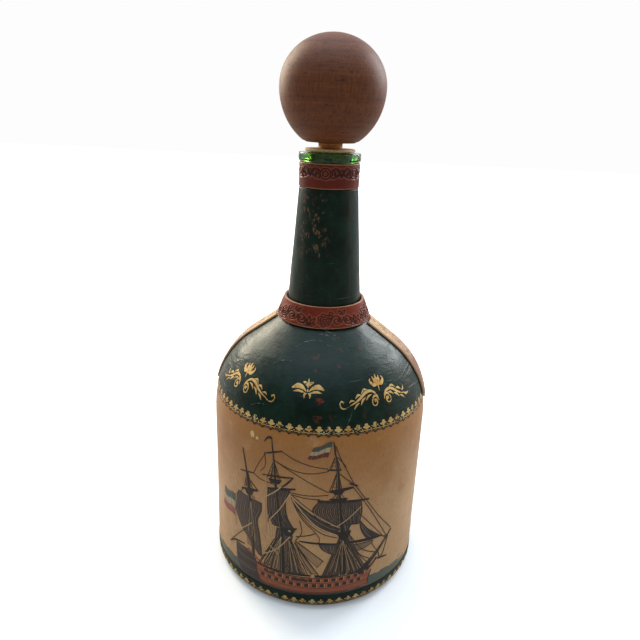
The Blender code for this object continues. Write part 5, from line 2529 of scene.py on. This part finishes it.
@dataclass
class BasePad:
    """The felt disc under the glass."""

    edge: float = 0.0005
    steps: int = 160

    def build(self) -> None:
        """Turn the disc, its upper and lower edges rounded."""
        low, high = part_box("base_pad")
        radius, edge = high.x, self.edge
        inward = np.linspace(0.0, radius - edge, 12)
        profile = np.concatenate(
            [
                np.stack([inward, np.full(12, low.z)], axis=1),
                arc((radius - edge, low.z + edge), edge, -QUARTER, 0.0, 5)[1:],
                arc((radius - edge, high.z - edge), edge, 0.0, QUARTER, 5),
                np.stack([inward[::-1][1:], np.full(11, high.z)], axis=1),
            ]
        )
        felt = Felt("green_felt").material()
        turned(profile, self.steps).made("base_pad_felt", felt, "bottle", "base_pad", ["base_pad"])


# Studio

@dataclass
class Studio:
    """Camera, floor, surroundings and soft lights."""

    azimuth: float = math.radians(7.3)
    distance: float = 0.2698
    height: float = 0.2323
    aside: float = -0.0016
    pitch: float = math.radians(19.97)
    roll: float = math.radians(2.28)
    lens: float = 31.67
    floor_size: float = 6.0
    aim: Vector = field(default_factory=lambda: Vector((0.0, 0.0, 0.12)))

    def build(self) -> None:
        """Set the camera, the floor, the world and the lamps."""
        self.camera()
        self.floor()
        self.world()
        self.lamps()
        bpy.context.scene.view_settings.view_transform = "Standard"

    def camera(self) -> None:
        """Look from the front right and above, tipped down and rolled a little."""
        right = Vector((math.cos(self.azimuth), math.sin(self.azimuth), 0.0))
        level = Vector((-math.sin(self.azimuth), math.cos(self.azimuth), 0.0))
        forward = level * math.cos(self.pitch) - Vector((0, 0, math.sin(self.pitch)))
        up = right.cross(forward)
        across = right * math.cos(self.roll) + up * math.sin(self.roll)
        upward = up * math.cos(self.roll) - right * math.sin(self.roll)
        place = right * self.aside - level * self.distance + Vector((0, 0, self.height))
        data = bpy.data.cameras.new("camera")
        data.lens = self.lens
        data.sensor_width = 36.0
        data.clip_start = 0.01
        camera = bpy.data.objects.new("camera", data)
        turn = Matrix((across, upward, -forward)).transposed()
        camera.matrix_world = Matrix.Translation(place) @ turn.to_4x4()
        bpy.context.scene.collection.objects.link(camera)
        bpy.context.scene.camera = camera

    def floor(self) -> None:
        """A wide flat sheet just under the base."""
        half = self.floor_size / 2
        mesh = bpy.data.meshes.new("floor")
        corners = [(-half, -half, 0.0), (half, -half, 0.0), (half, half, 0.0), (-half, half, 0.0)]
        mesh.from_pydata(corners, [], [(0, 1, 2, 3)])
        mesh.materials.append(Backdrop("backdrop").material())
        floor = bpy.data.objects.new("floor", mesh)
        bpy.context.scene.collection.objects.link(floor)

    def world(self) -> None:
        """Pale surroundings, darker towards the viewer's side and low down."""
        world = bpy.data.worlds.new("studio")
        world.use_nodes = True
        shader = Shader(world.node_tree)
        back = world.node_tree.nodes["Background"]
        direction = shader.add("ShaderNodeTexCoord").outputs["Generated"]
        behind = shader.spread(shader.axis(direction, "Y"), -0.45, 0.25)
        above = shader.spread(shader.axis(direction, "Z"), 0.45, 0.9)
        colour = shader.mix(behind, srgb(118, 112, 104), srgb(252, 252, 252))
        colour = shader.mix(above, colour, (1.0, 1.25, 1.5, 1.0))
        seen = shader.add("ShaderNodeLightPath").outputs["Is Camera Ray"]
        colour = shader.mix(seen, colour, srgb(253, 253, 253))
        world.node_tree.links.new(colour, back.inputs["Color"])
        back.inputs["Strength"].default_value = 1.0
        bpy.context.scene.world = world

    def lamps(self) -> None:
        """A warm softbox back left, a cooler one back right and a broad one overhead."""
        for name, place, wide, tall, power, colour in (
            ("lamp_left", (-0.70, 0.52, 0.56), 0.40, 0.7, 9.0, (1.0, 0.90, 0.70)),
            ("lamp_right", (0.62, 0.62, 0.60), 0.30, 0.6, 6.0, (0.93, 0.97, 1.0)),
            ("lamp_top", (0.0, 0.10, 1.2), 0.8, 0.8, 2.5, (0.96, 0.98, 1.0)),
        ):
            data = bpy.data.lights.new(name, "AREA")
            data.shape = "RECTANGLE"
            data.size = wide
            data.size_y = tall
            data.energy = power
            data.color = colour
            lamp = bpy.data.objects.new(name, data)
            lamp.location = place
            turn = (self.aim - Vector(place)).to_track_quat("-Z", "Y")
            lamp.rotation_euler = turn.to_euler()
            bpy.context.scene.collection.objects.link(lamp)


def main() -> None:
    """Build the decanter's pieces in order."""
    logging.basicConfig(level=logging.INFO, format="%(message)s")
    form = BottleForm()
    leather = BodyLeather(form)
    Studio().build()
    GlassBottle(form).build()
    leather.build()
    ShipPicture(form).build()
    GoldTooling(form, leather).build()
    TooledBands(form).build()
    Stopper().build()
    BasePad().build()


if __name__ == "__main__":
    main()
